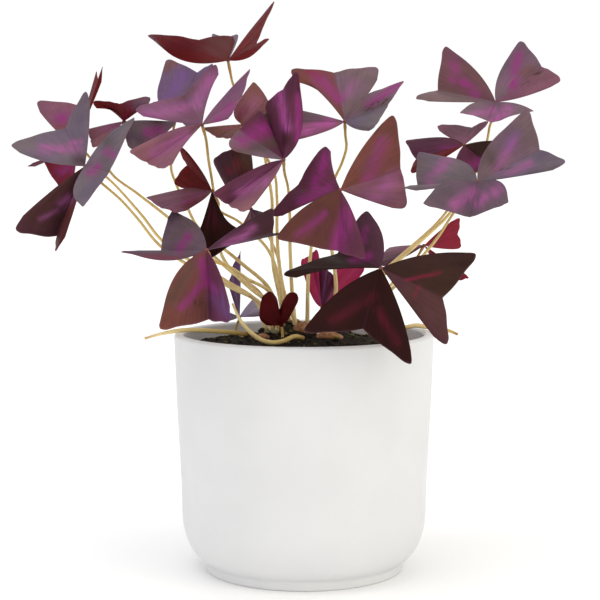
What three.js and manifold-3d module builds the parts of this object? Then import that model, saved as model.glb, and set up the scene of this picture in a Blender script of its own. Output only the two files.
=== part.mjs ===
// A potted purple shamrock: twenty three-leaved purple leaves and one young folded leaf, on thin
// straw-coloured stalks that rise from scaly rhizomes in a soil-filled round ceramic pot.
// Millimetres. +Z is up, the front is towards -Y, and the origin is the centre of the pot's foot.

import * as THREE from 'three';
import { mergeVertices } from 'three/addons/utils/BufferGeometryUtils.js';
import Module from 'manifold-3d';

const wasm = await Module();
wasm.setup();

// Clear gap between pieces that touch.
const GAP = 0.3;

// Pot: a low foot, a rounded shoulder and a slightly flared wall.
const POT_HEIGHT = 119.3;
const POT_WALL = 5;
const RIM_RADIUS = 65;
const LIP_ROUND = 1.4;
const FOOT_RADIUS = 50;
const FOOT_HEIGHT = 6;
const FOOT_CHAMFER = 0.8;
const FOOT_FLARE = 0.6;
// The shoulder is a quarter of an ellipse: its centre's radius, its height, and its two half axes.
const SHOULDER = { centre: 45.5, top: 30, across: 16, down: 26.5 };
// It starts this far outside the foot, which leaves a shallow groove above the foot.
const FOOT_SETBACK = 2;
const OUTER_STEPS = 6;
const INNER_STEPS = 4;
const ROUND_STEPS = 40;

// Soil: level near the wall, mounded under the crown of the plant, lumpy all over but at the wall.
const SOIL_EDGE = 112.5;
const SOIL_MOUND = 12;
const MOUND_REACH = 48;
const SOIL_RINGS = 6;
const SOIL_LUMP = 0.7;
const SOIL_SEED = 11;

// Leaflets: length of the line from hub to lobe and depth of the midrib's fold, on a leaf of size 1.
const LOBE = 45;
const FOLD = 5;
const BLADE = 0.66;
// Each half is arched and its edge is waved. The sides swell a little between hub and lobe.
const ARCH = 1.7;
const WAVE = 0.3;
const WAVE_TURN = 9;
const SIDE_SWELL = 0.05;
// The three leaflets meet in a small knob, which sits on the end of the stalk.
const HUB_KNOB = 1.45;
const HUB_SEAT = HUB_KNOB + 0.4;
// Edge of one half leaflet, from the notch round the lobe to the side edge. The two numbers are
// shares of the line from hub to notch and of the line from hub to lobe.
const HALF_EDGE = [[1, 0], [0.77, 0.27], [0.43, 0.62], [0.18, 0.885], [0.025, 0.98], [-0.05, 0.9]];
const RING_SHARES = [0.55, 1];

// Leaf stalks taper from the crown to the leaf.
const STALK_FOOT = 1.15;
const STALK_TOP = 0.65;
const STALK_TAPER = 1.3;
const STALK_SIDES = 5;
const STALK_STEPS = 10;
const STALK_SUNK = 9;
// Its last stretch bends part of the way into the normal of the leaf, by this share.
const HUB_DROP = 8;
const HUB_TURN = 0.5;
// The buried end leans with the stalk, by this share.
const FOOT_LEAN = 0.5;
const HOLE_RISE = 3;
// Pixel row of the crown. A stalk leaves its foot's depth for its hub's as it rises from there.
const CROWN_ROW = 325;
const LEAST_REACH = 0.1;

// The plant's places are read in a front view, 600 pixels square, drawn from this eye point.
const VIEW = { eye: [-2, -819.3, 210.2], pitch: THREE.MathUtils.degToRad(5.2), focal: 1642, middle: 300 };
// A lobe lies its true length from the hub, on the far or on the near side of it.
const AWAY = 'away';
const NEAR = 'near';

// One entry per leaf. hub: pixel across, pixel down, depth in mm (away from the viewer is +).
// leaflets: left lobe, notch, right lobe as seen from above with the hub behind, each a pixel place
// with AWAY, NEAR or a depth from the hub; a notch with no depth lies just under the plane of its
// lobes. A fourth list shapes the left and right sides: how far each swells out, as a share of the
// midrib, and how far each bends up, in mm. foot: where the stalk leaves the soil, in mm across and
// deep. stalk: pixel places that the stalk passes, from the soil up, with an optional depth.
const LEAVES = {
  a: {
    hub: [85, 166, -22], size: 1, foot: [-16, -2.5],
    leaflets: [
      [[11.5, 149, AWAY], [66, 129], [89.5, 93.5, AWAY], [0.12, 0.05]],
      [[137, 117.5, NEAR], [110.5, 172], [83.5, 209.5, NEAR], [0.3, 0.4]],
      [[60.5, 249, -16], [58, 236, 4], [14.5, 225.5, -8], [0.25, 0.05]],
    ],
    stalk: [[260, 303], [228, 286], [162.5, 248], [137.5, 218.5], [121, 200], [101, 182.5]],
  },
  b: {
    hub: [75, 148, 32], size: 0.93, foot: [-19.5, 4],
    leaflets: [
      [[36.4, 105.5, AWAY], [80, 106, 26], [88, 103, 30]],
      [[98, 76, 12], [99, 84, 2], [105, 70.5, -10]],
      [[28.5, 169, NEAR], [44, 160, -22], [68, 191, NEAR], [0.25, 0.1]],
    ],
    stalk: [[257, 302], [226, 281], [165.5, 244], [142, 215.5], [114, 184, 34], [94, 166, 39]],
  },
  c: {
    hub: [124, 121.5, 18], size: 0.7, foot: [-17, 9.5],
    leaflets: [
      [[151, 101, -24], [119, 104.5, -20], [93, 105.5, -24], [0, -0.4]],
      [[95, 149, -24], [91, 140, -16], [89.5, 130, -10]],
      [[175, 122.5, 6], [155, 144, -6], [130, 150, -20]],
    ],
    stalk: [[262, 296], [232, 272], [170, 219], [138, 194], [111, 173], [105, 155]],
  },
  d: {
    hub: [202, 124.7, -44], size: 1, foot: [-13.5, -13.5],
    leaflets: [
      [[136, 113.5, AWAY], [184, 97], [219, 67, AWAY], [0.05, -0.1]],
      [[166, 169.8, NEAR], [147, 163], [130, 150, NEAR], [-0.1, 0.25]],
      [[250, 71.5, 17], [243, 97, -3], [233, 116, -24], [0.22, 0.05]],
    ],
    stalk: [[276, 310, -14], [250, 288, -18], [228, 266, -21], [219.5, 249, -21], [216.5, 220, -18],
      [213, 187, -14], [208.5, 160, -28]],
  },
  e: {
    hub: [242.4, 124.4, 0], size: 0.92, foot: [-4.5, 1.5],
    leaflets: [
      [[251, 85, 24], [266, 99, 20], [274, 118, 26], [0.6, 0.05]],
      [[230, 141, -24], [216, 138, -22], [203, 130, -18]],
      [[280, 110, 20], [281, 125, 4], [280, 140, -18]],
    ],
    stalk: [[284, 292], [279, 262], [277, 229], [277, 199], [274, 172], [260, 150]],
  },
  f: {
    hub: [283.6, 159.8, -50], size: 1.02, foot: [-4.5, -6],
    leaflets: [
      [[267, 112, 24], [284, 90, 20], [300.5, 76, 14], [0.05, 0.1, 0, -6]],
      [[229, 149, -22], [239, 130.5, 2], [262.5, 113.8, 24]],
      [[247.6, 212.3, NEAR], [228.4, 205], [213.8, 191.4, NEAR], [0.1, 0.2]],
    ],
    stalk: [[292, 291, -4], [291, 270, -8], [290, 245, -12], [290, 220, -16],
      [288.4, 190.6, -25]],
  },
  g: {
    hub: [251, 209, 8], size: 0.85, foot: [-7, 10],
    leaflets: [
      [[215.5, 166, 24], [230, 150.5, 20], [251, 154.5, 24], [0.35, 0.1]],
      [[240, 236, 20], [246, 230, 26], [258, 224, 32]],
      [[268, 216, -14], [262, 224, -20], [252, 228, -24]],
    ],
    stalk: [[282, 290, 13], [278, 258, 15], [264, 228, 13]],
  },
  h: {
    hub: [212, 191, -25], size: 0.7, foot: [-10.5, -2.5],
    leaflets: [
      [[180, 214.5, -18], [160, 208, -14], [149, 198.5, 6], [0.1, 0.55]],
      [[177, 186, 20], [188, 165.5, 20], [183, 145.5, 20], [0.05, 0.3]],
      [[240, 236, -10], [209, 259, -10], [191, 252, -10], [-0.12, -0.1]],
    ],
    stalk: [[282, 300], [279, 279], [270, 253], [260, 240], [238, 221], [219, 210]],
  },
  j: {
    hub: [206.7, 250, -74], size: 1, foot: [-16.5, -9],
    leaflets: [
      [[121.7, 254.5, AWAY], [161.5, 253, 24], [176, 212, AWAY], [0.05, 0.2, -4, 0]],
      [[268.6, 210.5, AWAY], [272, 233, 18], [288.4, 229.5, AWAY], [0.1, 0.06]],
      [[233.5, 317.5, NEAR], [209.3, 319.7, -14], [157.5, 327, NEAR], [0.14, 0.3]],
    ],
    stalk: [[272, 296, -13], [247, 278.6, -30], [228, 266]],
  },
  k: {
    hub: [340.3, 189.8, -46], size: 1.02, foot: [1.5, -10],
    leaflets: [
      [[389.5, 115.5, 21], [399.8, 168.4, 16], [401.5, 208.7, 26], [0.1, 0.02]],
      [[274, 218.5, 6], [299, 185, 20], [327.8, 147.5, 30], [-0.03, -0.06]],
      [[366.5, 257.5, NEAR], [338, 251.5], [275.6, 237, NEAR], [0.12, 0.12]],
    ],
    stalk: [[307.5, 312], [308, 280], [311, 249], [313, 225], [318, 201, -38]],
  },
  l: {
    hub: [344.8, 121.5, -6], size: 0.98, foot: [13.5, -1],
    leaflets: [
      [[289.7, 74.5, AWAY], [333.7, 73.7], [379.8, 72.5, AWAY], [-0.26, 0.05]],
      [[403.5, 84, 16], [389, 105, -5], [374, 130.5, -27], [0.1, 0.1, 5, 0]],
      [[284, 142.5, -14], [279, 124, -6], [276, 106, -4], [0.15, 0.05]],
    ],
    stalk: [[336, 290], [335, 273], [332, 251], [329, 225], [330, 200], [335, 178],
      [341.5, 164], [346.5, 147]],
  },
  m: {
    hub: [228, 60.5, 22], size: 1, foot: [-10, 5.5],
    leaflets: [
      [[234, 40, -40], [199, 41, -31], [147, 38.5, -19], [0, 0.55, 0, -3]],
      [[270, 41.5, 26], [257, 45, 8], [275.5, 3, -18], [0.1, 0.1, -3, 0]],
      [[212, 37.5, AWAY], [226, 41, 32], [238, 38, AWAY]],
    ],
    stalk: [[279, 293], [274, 270], [271.7, 240], [272, 199, 12], [268, 175, 17], [263, 150, 25],
      [246, 114, 35], [233, 84, 31]],
  },
  n: {
    hub: [495.8, 102.1, 30], size: 0.92, foot: [14.5, 9.5],
    leaflets: [
      [[417.6, 101, -16], [437.5, 91.5, 1], [447.3, 47.4, 20], [0.05, 0.14]],
      [[518, 43.5, 25], [542, 67.5, 6], [559.6, 84, -10], [0.2, 0.1]],
      [[535, 112, NEAR], [493, 123, -26], [458.6, 113.8, NEAR], [0.14, 0.28]],
    ],
    stalk: [[360, 298, 10], [398, 261, 8], [419, 242.6, 9], [433, 230, 12],
      [447, 216.7, 12], [472, 180, 15], [486.5, 143, 20], [490, 125, 25]],
  },
  o: {
    hub: [477.5, 182, -30], size: 1, foot: [19.5, 2.5],
    leaflets: [
      [[524.5, 111, 10], [540, 150.5, -4], [564.5, 166.5, -17], [0.3, 0.05]],
      [[406, 191.5, -12], [417.6, 186, 10], [422.5, 153.5, 27], [0.05, 0.35]],
      [[510.5, 203.5, NEAR], [470, 218, -28], [421.5, 204.5, NEAR], [0.35, 0.38]],
    ],
    stalk: [[362, 311], [392, 289], [426, 252], [439, 235.5], [449, 220], [464, 200]],
  },
  p: {
    hub: [464.2, 145, 10], size: 0.82, foot: [8.5, 7.5],
    leaflets: [
      [[437, 128.5, AWAY], [472, 128.5, 24], [488, 124.5, AWAY]],
      [[414.5, 175, -12], [416.5, 160, 2], [408.5, 141, 18], [0.05, 0.3]],
      [[500, 142, -8], [490, 168, -14], [457, 181, -20], [0.05, 0.15]],
    ],
    stalk: [[345, 300, 14], [382, 272, 16], [412, 246, 20], [438, 222, 22], [455, 199, 20],
      [469, 168, 16]],
  },
  q: {
    hub: [424, 245.5, 32], size: 0.8, foot: [21, 9],
    leaflets: [
      [[455.5, 218.5, 22], [456.5, 234, 20], [456.5, 249, 20]],
      [[385, 268, -14], [383, 258.5, 2], [392, 249.5, 18], [0.05, 0.15]],
      [[467, 277, -12], [458, 281, -14], [449, 284, -20]],
    ],
    stalk: [[356, 314], [385, 291], [408, 266]],
  },
  r: {
    hub: [381, 268, -72], size: 1.07, foot: [15.5, -8.5],
    leaflets: [
      [[284.5, 278, AWAY], [338, 254.3, 26], [370, 212.2, 35], [-0.08, 0.17, 1.5, 0]],
      [[473.8, 252.5, 10], [442.3, 298.4, 1], [443, 346, -15], [0.12, 0]],
      [[413, 363, -16], [362.7, 329, -6], [302.5, 329, -16], [0.1, 0.18]],
    ],
    stalk: [[342, 312], [360, 292]],
  },
  t: {
    hub: [322, 307, 28], size: 0.72, foot: [8.5, 17],
    leaflets: [
      [[300.5, 266, 16], [310, 257.5, 22], [319, 254.5, 22], [0.3, 0.05]],
      [[338, 266, 22], [352, 266, 18], [364, 273, 12]],
      [[335, 285, -20], [328, 272, -18], [319, 267, -12]],
    ],
    stalk: [],
  },
  u: {
    hub: [239.5, 317, 28], size: 0.78, foot: [-30.5, 27],
    leaflets: [
      [[227.5, 283, -10], [231, 269, -2], [239, 252.5, 7]],
      [[251, 302, 24], [259, 308, 18], [264, 316, 14]],
      [[222, 323, -22], [213, 317, -14], [208, 306, 0]],
    ],
    stalk: [],
  },
  x: {
    hub: [176, 116, 36], size: 0.95, foot: [-13, 14.5],
    leaflets: [
      [[164.5, 63.5, AWAY], [197, 73.5, 27], [213, 69, AWAY], [0.45, 0.05]],
      [[152, 113, -26], [148, 110, -2], [156, 105, 26]],
      [[199, 112, 26], [197, 121, 14], [193, 131, -8]],
    ],
    stalk: [[270, 290], [240, 262], [197, 226], [189, 211], [176, 184], [171, 168], [174, 138]],
  },
};

// The young leaf is still folded: two round lobes on a short stalk. Its outline goes from the left
// side over the left lobe, the notch and the right lobe, in pixel places with depths from the hub.
const YOUNG = {
  hub: [281.5, 325.5, -20],
  foot: [-10.5, -19.5],
  outline: [[266, 325, -2], [260, 319, -3], [260, 307, -3], [263, 296, -1], [270.5, 291.5, 1],
    [276.5, 298, 2], [279.5, 309, 3], [283.5, 300, 2], [289, 293, 1], [296, 293, -1],
    [298.5, 299, -2], [294, 309, -3], [288, 320, -2]],
};
// Its middle stands this far out towards the front.
const YOUNG_CUP = 2;
const YOUNG_STEPS = 4;

// Old bare stalks that lie over the soil and the rim. Pixel places with their depths.
const BARE_STALKS = {
  left: {
    places: [[144.6, 338.5, -12], [160.7, 333.9, -11], [183.6, 330.2, -10], [214, 331, -9],
      [247.9, 334, -7]],
    radius: 1.2,
  },
  front: {
    places: [[232.4, 303.4, -38], [239.9, 319.5, -37], [250.2, 332, -36], [261.7, 340, -35],
      [272, 342.5, -34], [283.5, 341, -32], [293.8, 336.7, -28.5], [303, 338, -23]],
    radius: 1.15,
  },
  right: {
    places: [[404.5, 328, 9], [414.8, 325.5, 10], [427.4, 327, 12], [448, 330.5, 13],
      [457.8, 334.4, 13]],
    radius: 1.15,
  },
};

// Scaly rhizomes half sunk in the soil in front of the stalks. Ends in mm across and deep, and how
// far their middle line lies above the soil.
const RHIZOMES = [
  { from: [-5, -13.5], to: [5.5, -17], radius: 3.3, rise: 1.4 },
  { from: [6, -21], to: [19, -15.5], radius: 2.5, rise: 0.8 },
  { from: [-17, -17], to: [-24, -12], radius: 2.2, rise: 0.7 },
];
const RHIZOME_STEPS = 12;
const RHIZOME_SIDES = 7;
const SCALE_ROWS = 6;
const SCALE_RELIEF = 0.16;
// The middle line sinks and arches by shares of the radius, and the ends are blunt.
const RHIZOME_SINK = 0.25;
const RHIZOME_ARCH = 0.2;
const BLUNT_END = 0.04;

const COLOURS = {
  ceramic: new THREE.MeshStandardMaterial({ color: '#e6e5e1', roughness: 0.6, metalness: 0 }),
  soil: new THREE.MeshStandardMaterial({ color: '#2a2019', roughness: 0.95, metalness: 0 }),
  blade: new THREE.MeshStandardMaterial({ color: '#5d2b48', roughness: 0.5, metalness: 0 }),
  youngBlade: new THREE.MeshStandardMaterial({ color: '#5a0f18', roughness: 0.5, metalness: 0 }),
  stalk: new THREE.MeshStandardMaterial({ color: '#cda95f', roughness: 0.55, metalness: 0 }),
  rhizome: new THREE.MeshStandardMaterial({ color: '#b27a4a', roughness: 0.8, metalness: 0 }),
};

// Repeatable random numbers between 0 and 1.
function seededRandom(seed) {
  let state = seed;
  return () => {
    state = (state * 1664525 + 1013904223) % 4294967296;
    return state / 4294967296;
  };
}

// Closed geometry from loose triangles: shared corners joined, flat slivers dropped.
function closed(geometry) {
  const bare = new THREE.BufferGeometry();
  bare.setAttribute('position', geometry.getAttribute('position').clone());
  if (geometry.index) bare.setIndex(geometry.index.clone());
  const merged = mergeVertices(bare, 1e-4);
  const kept = [];
  for (let i = 0; i < merged.index.count; i += 3) {
    const [a, b, c] = [merged.index.getX(i), merged.index.getX(i + 1), merged.index.getX(i + 2)];
    if (a !== b && b !== c && c !== a) kept.push(a, b, c);
  }
  merged.setIndex(kept);
  return merged;
}

function toSolid(geometry) {
  const vertProperties = new Float32Array(geometry.getAttribute('position').array);
  const triVerts = new Uint32Array(geometry.index.array);
  return new wasm.Manifold(new wasm.Mesh({ numProp: 3, vertProperties, triVerts }));
}

function fromSolid(solid) {
  const mesh = solid.getMesh();
  const geometry = new THREE.BufferGeometry();
  geometry.setAttribute('position', new THREE.BufferAttribute(new Float32Array(mesh.vertProperties), 3));
  geometry.setIndex(Array.from(mesh.triVerts));
  return geometry;
}

function fromRows(points, faces) {
  const geometry = new THREE.BufferGeometry();
  const flat = points.flatMap((point) => point.toArray());
  geometry.setAttribute('position', new THREE.Float32BufferAttribute(flat, 3));
  geometry.setIndex(faces.flat());
  return geometry;
}

// A turned body: profile points are radius and height, from the axis round to the axis.
function turned(profile) {
  const points = profile.map(([radius, height]) => new THREE.Vector2(radius, height));
  const geometry = new THREE.LatheGeometry(points, ROUND_STEPS);
  geometry.rotateX(Math.PI / 2);
  return closed(geometry);
}

// Point on the sight line through a pixel, at a depth along Y.
function sightLine(across, down) {
  const { pitch, focal, middle } = VIEW;
  const right = (across - middle) / focal;
  const up = (middle - down) / focal;
  const forward = Math.cos(pitch) + up * Math.sin(pitch);
  const rise = up * Math.cos(pitch) - Math.sin(pitch);
  return new THREE.Vector3(right, forward, rise);
}

function seen(across, down, depth) {
  const eye = new THREE.Vector3(...VIEW.eye);
  const line = sightLine(across, down);
  return eye.addScaledVector(line, (depth - eye.y) / line.y);
}

// Point on the sight line at a given distance from the hub, on its near or far side.
function seenAtLength([across, down, side], hub, length) {
  if (typeof side === 'number') return seen(across, down, hub.y + side);
  const eye = new THREE.Vector3(...VIEW.eye);
  const line = sightLine(across, down).normalize();
  const toHub = hub.clone().sub(eye);
  const along = toHub.dot(line);
  const missSquared = toHub.lengthSq() - along * along;
  const half = Math.sqrt(Math.max(0, length * length - missSquared));
  return eye.addScaledVector(line, along + (side === AWAY ? half : -half));
}

// The notch lies under the plane of hub and lobes, which folds the leaflet along its midrib.
function notchPoint([across, down, depth], hub, left, right, fold) {
  if (depth !== undefined) return seen(across, down, hub.y + depth);
  const eye = new THREE.Vector3(...VIEW.eye);
  const line = sightLine(across, down);
  const upper = right.clone().sub(hub).cross(left.clone().sub(hub)).normalize();
  const reach = (upper.dot(hub.clone().sub(eye)) - fold) / upper.dot(line);
  return eye.addScaledVector(line, reach);
}

// Middle surface of a half leaflet, s from hub to edge and a place along HALF_EDGE.
function halfPoint(hub, notch, lobe, s, k, lift, swells, bends) {
  const share = k / (HALF_EDGE.length - 1);
  const [along, out] = HALF_EDGE[k];
  const toNotch = notch.clone().sub(hub);
  const toLobe = lobe.clone().sub(hub);
  const side = 4 * s * (1 - s) * share * share;
  const point = hub.clone().addScaledVector(toNotch, s * along - swells * side);
  point.addScaledVector(toLobe, s * out + 0.5 * swells * side);
  const arch = ARCH * 4 * share * (1 - share) * s;
  const wave = WAVE * Math.sin(share * WAVE_TURN + hub.x) * s * s * share;
  return point.addScaledVector(lift, arch + wave + bends * side);
}

// A closed blade round a hub and rings of middle points, the same triangles on both faces.
function blade(hub, rings) {
  const middle = [hub.clone(), ...rings.flat()];
  const rowLength = rings[0].length;
  const at = (ring, k) => (ring === 0 ? 0 : 1 + (ring - 1) * rowLength + k);
  const upper = [];
  for (let k = 0; k < rowLength - 1; k += 1) upper.push([0, at(1, k), at(1, k + 1)]);
  for (let ring = 1; ring < rings.length; ring += 1) {
    for (let k = 0; k < rowLength - 1; k += 1) {
      upper.push([at(ring, k), at(ring + 1, k), at(ring + 1, k + 1)]);
      upper.push([at(ring, k), at(ring + 1, k + 1), at(ring, k + 1)]);
    }
  }
  const normals = middle.map(() => new THREE.Vector3());
  upper.forEach(([a, b, c]) => {
    const face = middle[b].clone().sub(middle[a]).cross(middle[c].clone().sub(middle[a]));
    [a, b, c].forEach((corner) => normals[corner].add(face));
  });
  normals.forEach((normal) => normal.normalize());
  const top = middle.map((point, i) => point.clone().addScaledVector(normals[i], BLADE / 2));
  const bottom = middle.map((point, i) => point.clone().addScaledVector(normals[i], -BLADE / 2));
  const shift = middle.length;
  const faces = upper.concat(upper.map(([a, b, c]) => [a + shift, c + shift, b + shift]));
  const rim = [0];
  for (let ring = 1; ring <= rings.length; ring += 1) rim.push(at(ring, 0));
  for (let k = 1; k < rowLength; k += 1) rim.push(at(rings.length, k));
  for (let ring = rings.length - 1; ring > 0; ring -= 1) rim.push(at(ring, rowLength - 1));
  rim.forEach((a, i) => {
    const b = rim[(i + 1) % rim.length];
    faces.push([b, a, a + shift], [b, a + shift, b + shift]);
  });
  return fromRows(top.concat(bottom), faces);
}

function leaflet(hub, { left, notch, right, sides }) {
  const [leftSwell, rightSwell, leftBend = 0, rightBend = 0] = sides ?? [SIDE_SWELL, SIDE_SWELL];
  const toNotch = notch.clone().sub(hub);
  const liftRight = right.clone().sub(hub).cross(toNotch).normalize();
  const liftLeft = toNotch.clone().cross(left.clone().sub(hub)).normalize();
  const last = HALF_EDGE.length - 1;
  const rings = RING_SHARES.map((s) => {
    const ring = [];
    for (let k = last; k > 0; k -= 1) {
      ring.push(halfPoint(hub, notch, right, s, k, liftRight, rightSwell, rightBend));
    }
    for (let k = 0; k <= last; k += 1) {
      ring.push(halfPoint(hub, notch, left, s, k, liftLeft, leftSwell, leftBend));
    }
    return ring;
  });
  return blade(hub, rings);
}

// Evenly spaced points along a smooth curve.
function spacedAlong(path, steps) {
  return new THREE.CatmullRomCurve3(path).getSpacedPoints(steps);
}

// A round bar through spaced points, with a radius for each.
function bar(spaced, sides, radii) {
  const steps = spaced.length - 1;
  const points = [];
  const tangentAt = (i) => {
    const before = spaced[Math.max(0, i - 1)];
    const after = spaced[Math.min(steps, i + 1)];
    return after.clone().sub(before).normalize();
  };
  let side = new THREE.Vector3(1, 0, 0);
  spaced.forEach((centre, i) => {
    const tangent = tangentAt(i);
    side.addScaledVector(tangent, -side.dot(tangent)).normalize();
    const other = tangent.clone().cross(side);
    const radius = radii[i];
    for (let k = 0; k < sides; k += 1) {
      const angle = (2 * Math.PI * k) / sides;
      const out = side.clone().multiplyScalar(Math.cos(angle)).addScaledVector(other, Math.sin(angle));
      points.push(centre.clone().addScaledVector(out, radius));
    }
  });
  const faces = [];
  for (let i = 0; i < steps; i += 1) {
    for (let k = 0; k < sides; k += 1) {
      const [a, b] = [i * sides + k, i * sides + ((k + 1) % sides)];
      faces.push([a, b, b + sides], [a, b + sides, a + sides]);
    }
  }
  const start = points.push(spaced[0].clone()) - 1;
  const end = points.push(spaced[steps].clone()) - 1;
  for (let k = 0; k < sides; k += 1) {
    faces.push([start, (k + 1) % sides, k]);
    faces.push([end, steps * sides + k, steps * sides + ((k + 1) % sides)]);
  }
  return fromRows(points, faces);
}

// The hole that a bar needs in the soil: its lower end up to a little above the ground.
function soilHole(spaced, sides, radii) {
  const clear = spaced.findIndex((point) => point.z > soilHeight(point.x, point.y) + HOLE_RISE);
  const end = clear < 1 ? spaced.length : clear + 1;
  const points = spaced.slice(0, end).map((point) => point.clone());
  points[0].addScaledVector(spaced[0].clone().sub(spaced[1]).normalize(), GAP);
  points[end - 1].addScaledVector(spaced[end - 1].clone().sub(spaced[end - 2]).normalize(), GAP);
  return bar(points, sides, radii.slice(0, end).map((radius) => radius + GAP));
}

// Height of the soil, before its lumps.
function soilHeight(x, y) {
  const share = Math.min(1, Math.hypot(x, y) / MOUND_REACH);
  return SOIL_EDGE + SOIL_MOUND * 0.5 * (1 + Math.cos(Math.PI * share));
}

// Where the leaf's hub, lobes and notches are.
function leafPoints(leaf) {
  const hub = seen(...leaf.hub);
  const leaflets = leaf.leaflets.map(([leftPlace, notchPlace, rightPlace, sides]) => {
    const left = seenAtLength(leftPlace, hub, LOBE * leaf.size);
    const right = seenAtLength(rightPlace, hub, LOBE * leaf.size);
    const notch = notchPoint(notchPlace, hub, left, right, FOLD * leaf.size);
    return { left, notch, right, sides };
  });
  const upper = new THREE.Vector3();
  leaflets.forEach(({ left, right }) => {
    upper.add(right.clone().sub(hub).cross(left.clone().sub(hub)).normalize());
  });
  return { hub, leaflets, upper: upper.normalize() };
}

// The path of a leaf's stalk, from below the soil to just under the hub.
function stalkPath(leaf, { hub, upper }) {
  const [x, y] = leaf.foot;
  const foot = new THREE.Vector3(x, y, soilHeight(x, y));
  const middle = leaf.stalk.map(([across, down, depth]) => {
    const share = Math.max(LEAST_REACH, (CROWN_ROW - down) / (CROWN_ROW - leaf.hub[1]));
    return seen(across, down, depth ?? THREE.MathUtils.lerp(y, hub.y, share));
  });
  const steps = [foot, ...middle, hub];
  const rise = steps[1].clone().sub(foot).normalize().multiplyScalar(FOOT_LEAN);
  rise.z += 1 - FOOT_LEAN;
  const sunk = foot.clone().addScaledVector(rise.normalize(), -STALK_SUNK);
  const approach = hub.clone().sub(steps[steps.length - 2]).normalize().lerp(upper, HUB_TURN).normalize();
  const under = hub.clone().addScaledVector(approach, -HUB_DROP);
  const end = hub.clone().addScaledVector(approach, -HUB_SEAT);
  return [sunk, foot, ...middle, under, end];
}

const stalkRadius = (share) => (
  THREE.MathUtils.lerp(STALK_FOOT, STALK_TOP, Math.min(1, share * STALK_TAPER))
);

function withKnob(hub, blades) {
  const knob = toSolid(closed(new THREE.IcosahedronGeometry(HUB_KNOB).translate(...hub.toArray())));
  return fromSolid(blades.reduce((solid, geometry) => solid.add(toSolid(geometry)), knob));
}

function leafBlade({ hub, leaflets }) {
  return withKnob(hub, leaflets.map((shape) => leaflet(hub, shape)));
}

function youngBlade(hub) {
  const edge = YOUNG.outline.map(([across, down, depth]) => seen(across, down, hub.y + depth)).reverse();
  const rings = RING_SHARES.map((s) => edge.map((point) => {
    const cup = new THREE.Vector3(0, -YOUNG_CUP * 4 * s * (1 - s), 0);
    return hub.clone().lerp(point, s).add(cup);
  }));
  return withKnob(hub, [blade(hub, rings)]);
}

function youngStalkPath(hub) {
  const foot = new THREE.Vector3(...YOUNG.foot, soilHeight(...YOUNG.foot));
  const sunk = foot.clone().add(new THREE.Vector3(0, 0, -STALK_SUNK));
  const end = hub.clone().add(new THREE.Vector3(0, 0, -HUB_SEAT));
  return [sunk, foot, end];
}

function potProfile() {
  const { centre, top, across, down } = SHOULDER;
  const footAngle = Math.asin((FOOT_RADIUS + FOOT_SETBACK - centre) / across);
  const shoulder = [];
  for (let i = 0; i <= OUTER_STEPS; i += 1) {
    const angle = THREE.MathUtils.lerp(footAngle, Math.PI / 2, i / OUTER_STEPS);
    shoulder.push([centre + across * Math.sin(angle), top - down * Math.cos(angle)]);
  }
  const lipOuter = RIM_RADIUS - LIP_ROUND;
  const lipInner = RIM_RADIUS - POT_WALL + LIP_ROUND;
  const diagonal = LIP_ROUND * Math.SQRT1_2;
  const lipShoulder = POT_HEIGHT - LIP_ROUND + diagonal;
  return [
    [0, 0], [FOOT_RADIUS - FOOT_CHAMFER, 0], [FOOT_RADIUS, FOOT_CHAMFER],
    [FOOT_RADIUS + FOOT_FLARE, FOOT_HEIGHT - FOOT_FLARE],
    ...shoulder,
    [RIM_RADIUS, POT_HEIGHT - LIP_ROUND], [lipOuter + diagonal, lipShoulder], [lipOuter, POT_HEIGHT],
    [lipInner, POT_HEIGHT], [lipInner - diagonal, lipShoulder],
    [RIM_RADIUS - POT_WALL, POT_HEIGHT - LIP_ROUND],
    ...insideProfile(0),
  ];
}

// The pot's inner wall and floor, drawn in by a gap, from the rim down to the axis.
function insideProfile(gap) {
  const { centre, top, across, down } = SHOULDER;
  const profile = [];
  for (let i = INNER_STEPS; i >= 0; i -= 1) {
    const angle = (Math.PI / 2) * (i / INNER_STEPS);
    const radius = centre + (across - POT_WALL - gap) * Math.sin(angle);
    profile.push([radius, top - (down - POT_WALL - gap) * Math.cos(angle)]);
  }
  profile.push([0, top - (down - POT_WALL - gap)]);
  return profile;
}

// Inner radius of the pot's straight wall at a height.
function innerRadius(height) {
  const low = SHOULDER.centre + SHOULDER.across - POT_WALL;
  const share = (height - SHOULDER.top) / (POT_HEIGHT - LIP_ROUND - SHOULDER.top);
  return THREE.MathUtils.lerp(low, RIM_RADIUS - POT_WALL, share);
}

// The soil fills the pot to its edge height. Only points on top and off the wall are lumpy.
function soilBody() {
  const edge = innerRadius(SOIL_EDGE) - GAP;
  const profile = [];
  for (let ring = 0; ring <= SOIL_RINGS; ring += 1) {
    const radius = (edge * ring) / SOIL_RINGS;
    profile.push([radius, soilHeight(radius, 0)]);
  }
  const body = turned([...profile, ...insideProfile(GAP)].reverse());
  const position = body.getAttribute('position');
  const random = seededRandom(SOIL_SEED);
  const margin = 1;
  for (let i = 0; i < position.count; i += 1) {
    const lump = THREE.MathUtils.lerp(-SOIL_LUMP, SOIL_LUMP, random());
    const radius = Math.hypot(position.getX(i), position.getY(i));
    const onTop = position.getZ(i) > SOIL_EDGE - margin && radius < edge - margin;
    if (onTop) position.setZ(i, position.getZ(i) + lump);
  }
  return holes.reduce((solid, hole) => solid.subtract(toSolid(hole)), toSolid(body));
}

function rhizomePath({ from, to, rise, radius }) {
  return [0, 0.5, 1].map((share) => {
    const x = THREE.MathUtils.lerp(from[0], to[0], share);
    const y = THREE.MathUtils.lerp(from[1], to[1], share);
    const bow = radius * (RHIZOME_ARCH * Math.sin(Math.PI * share) - RHIZOME_SINK);
    return new THREE.Vector3(x, y, soilHeight(x, y) + rise + bow);
  });
}

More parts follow.
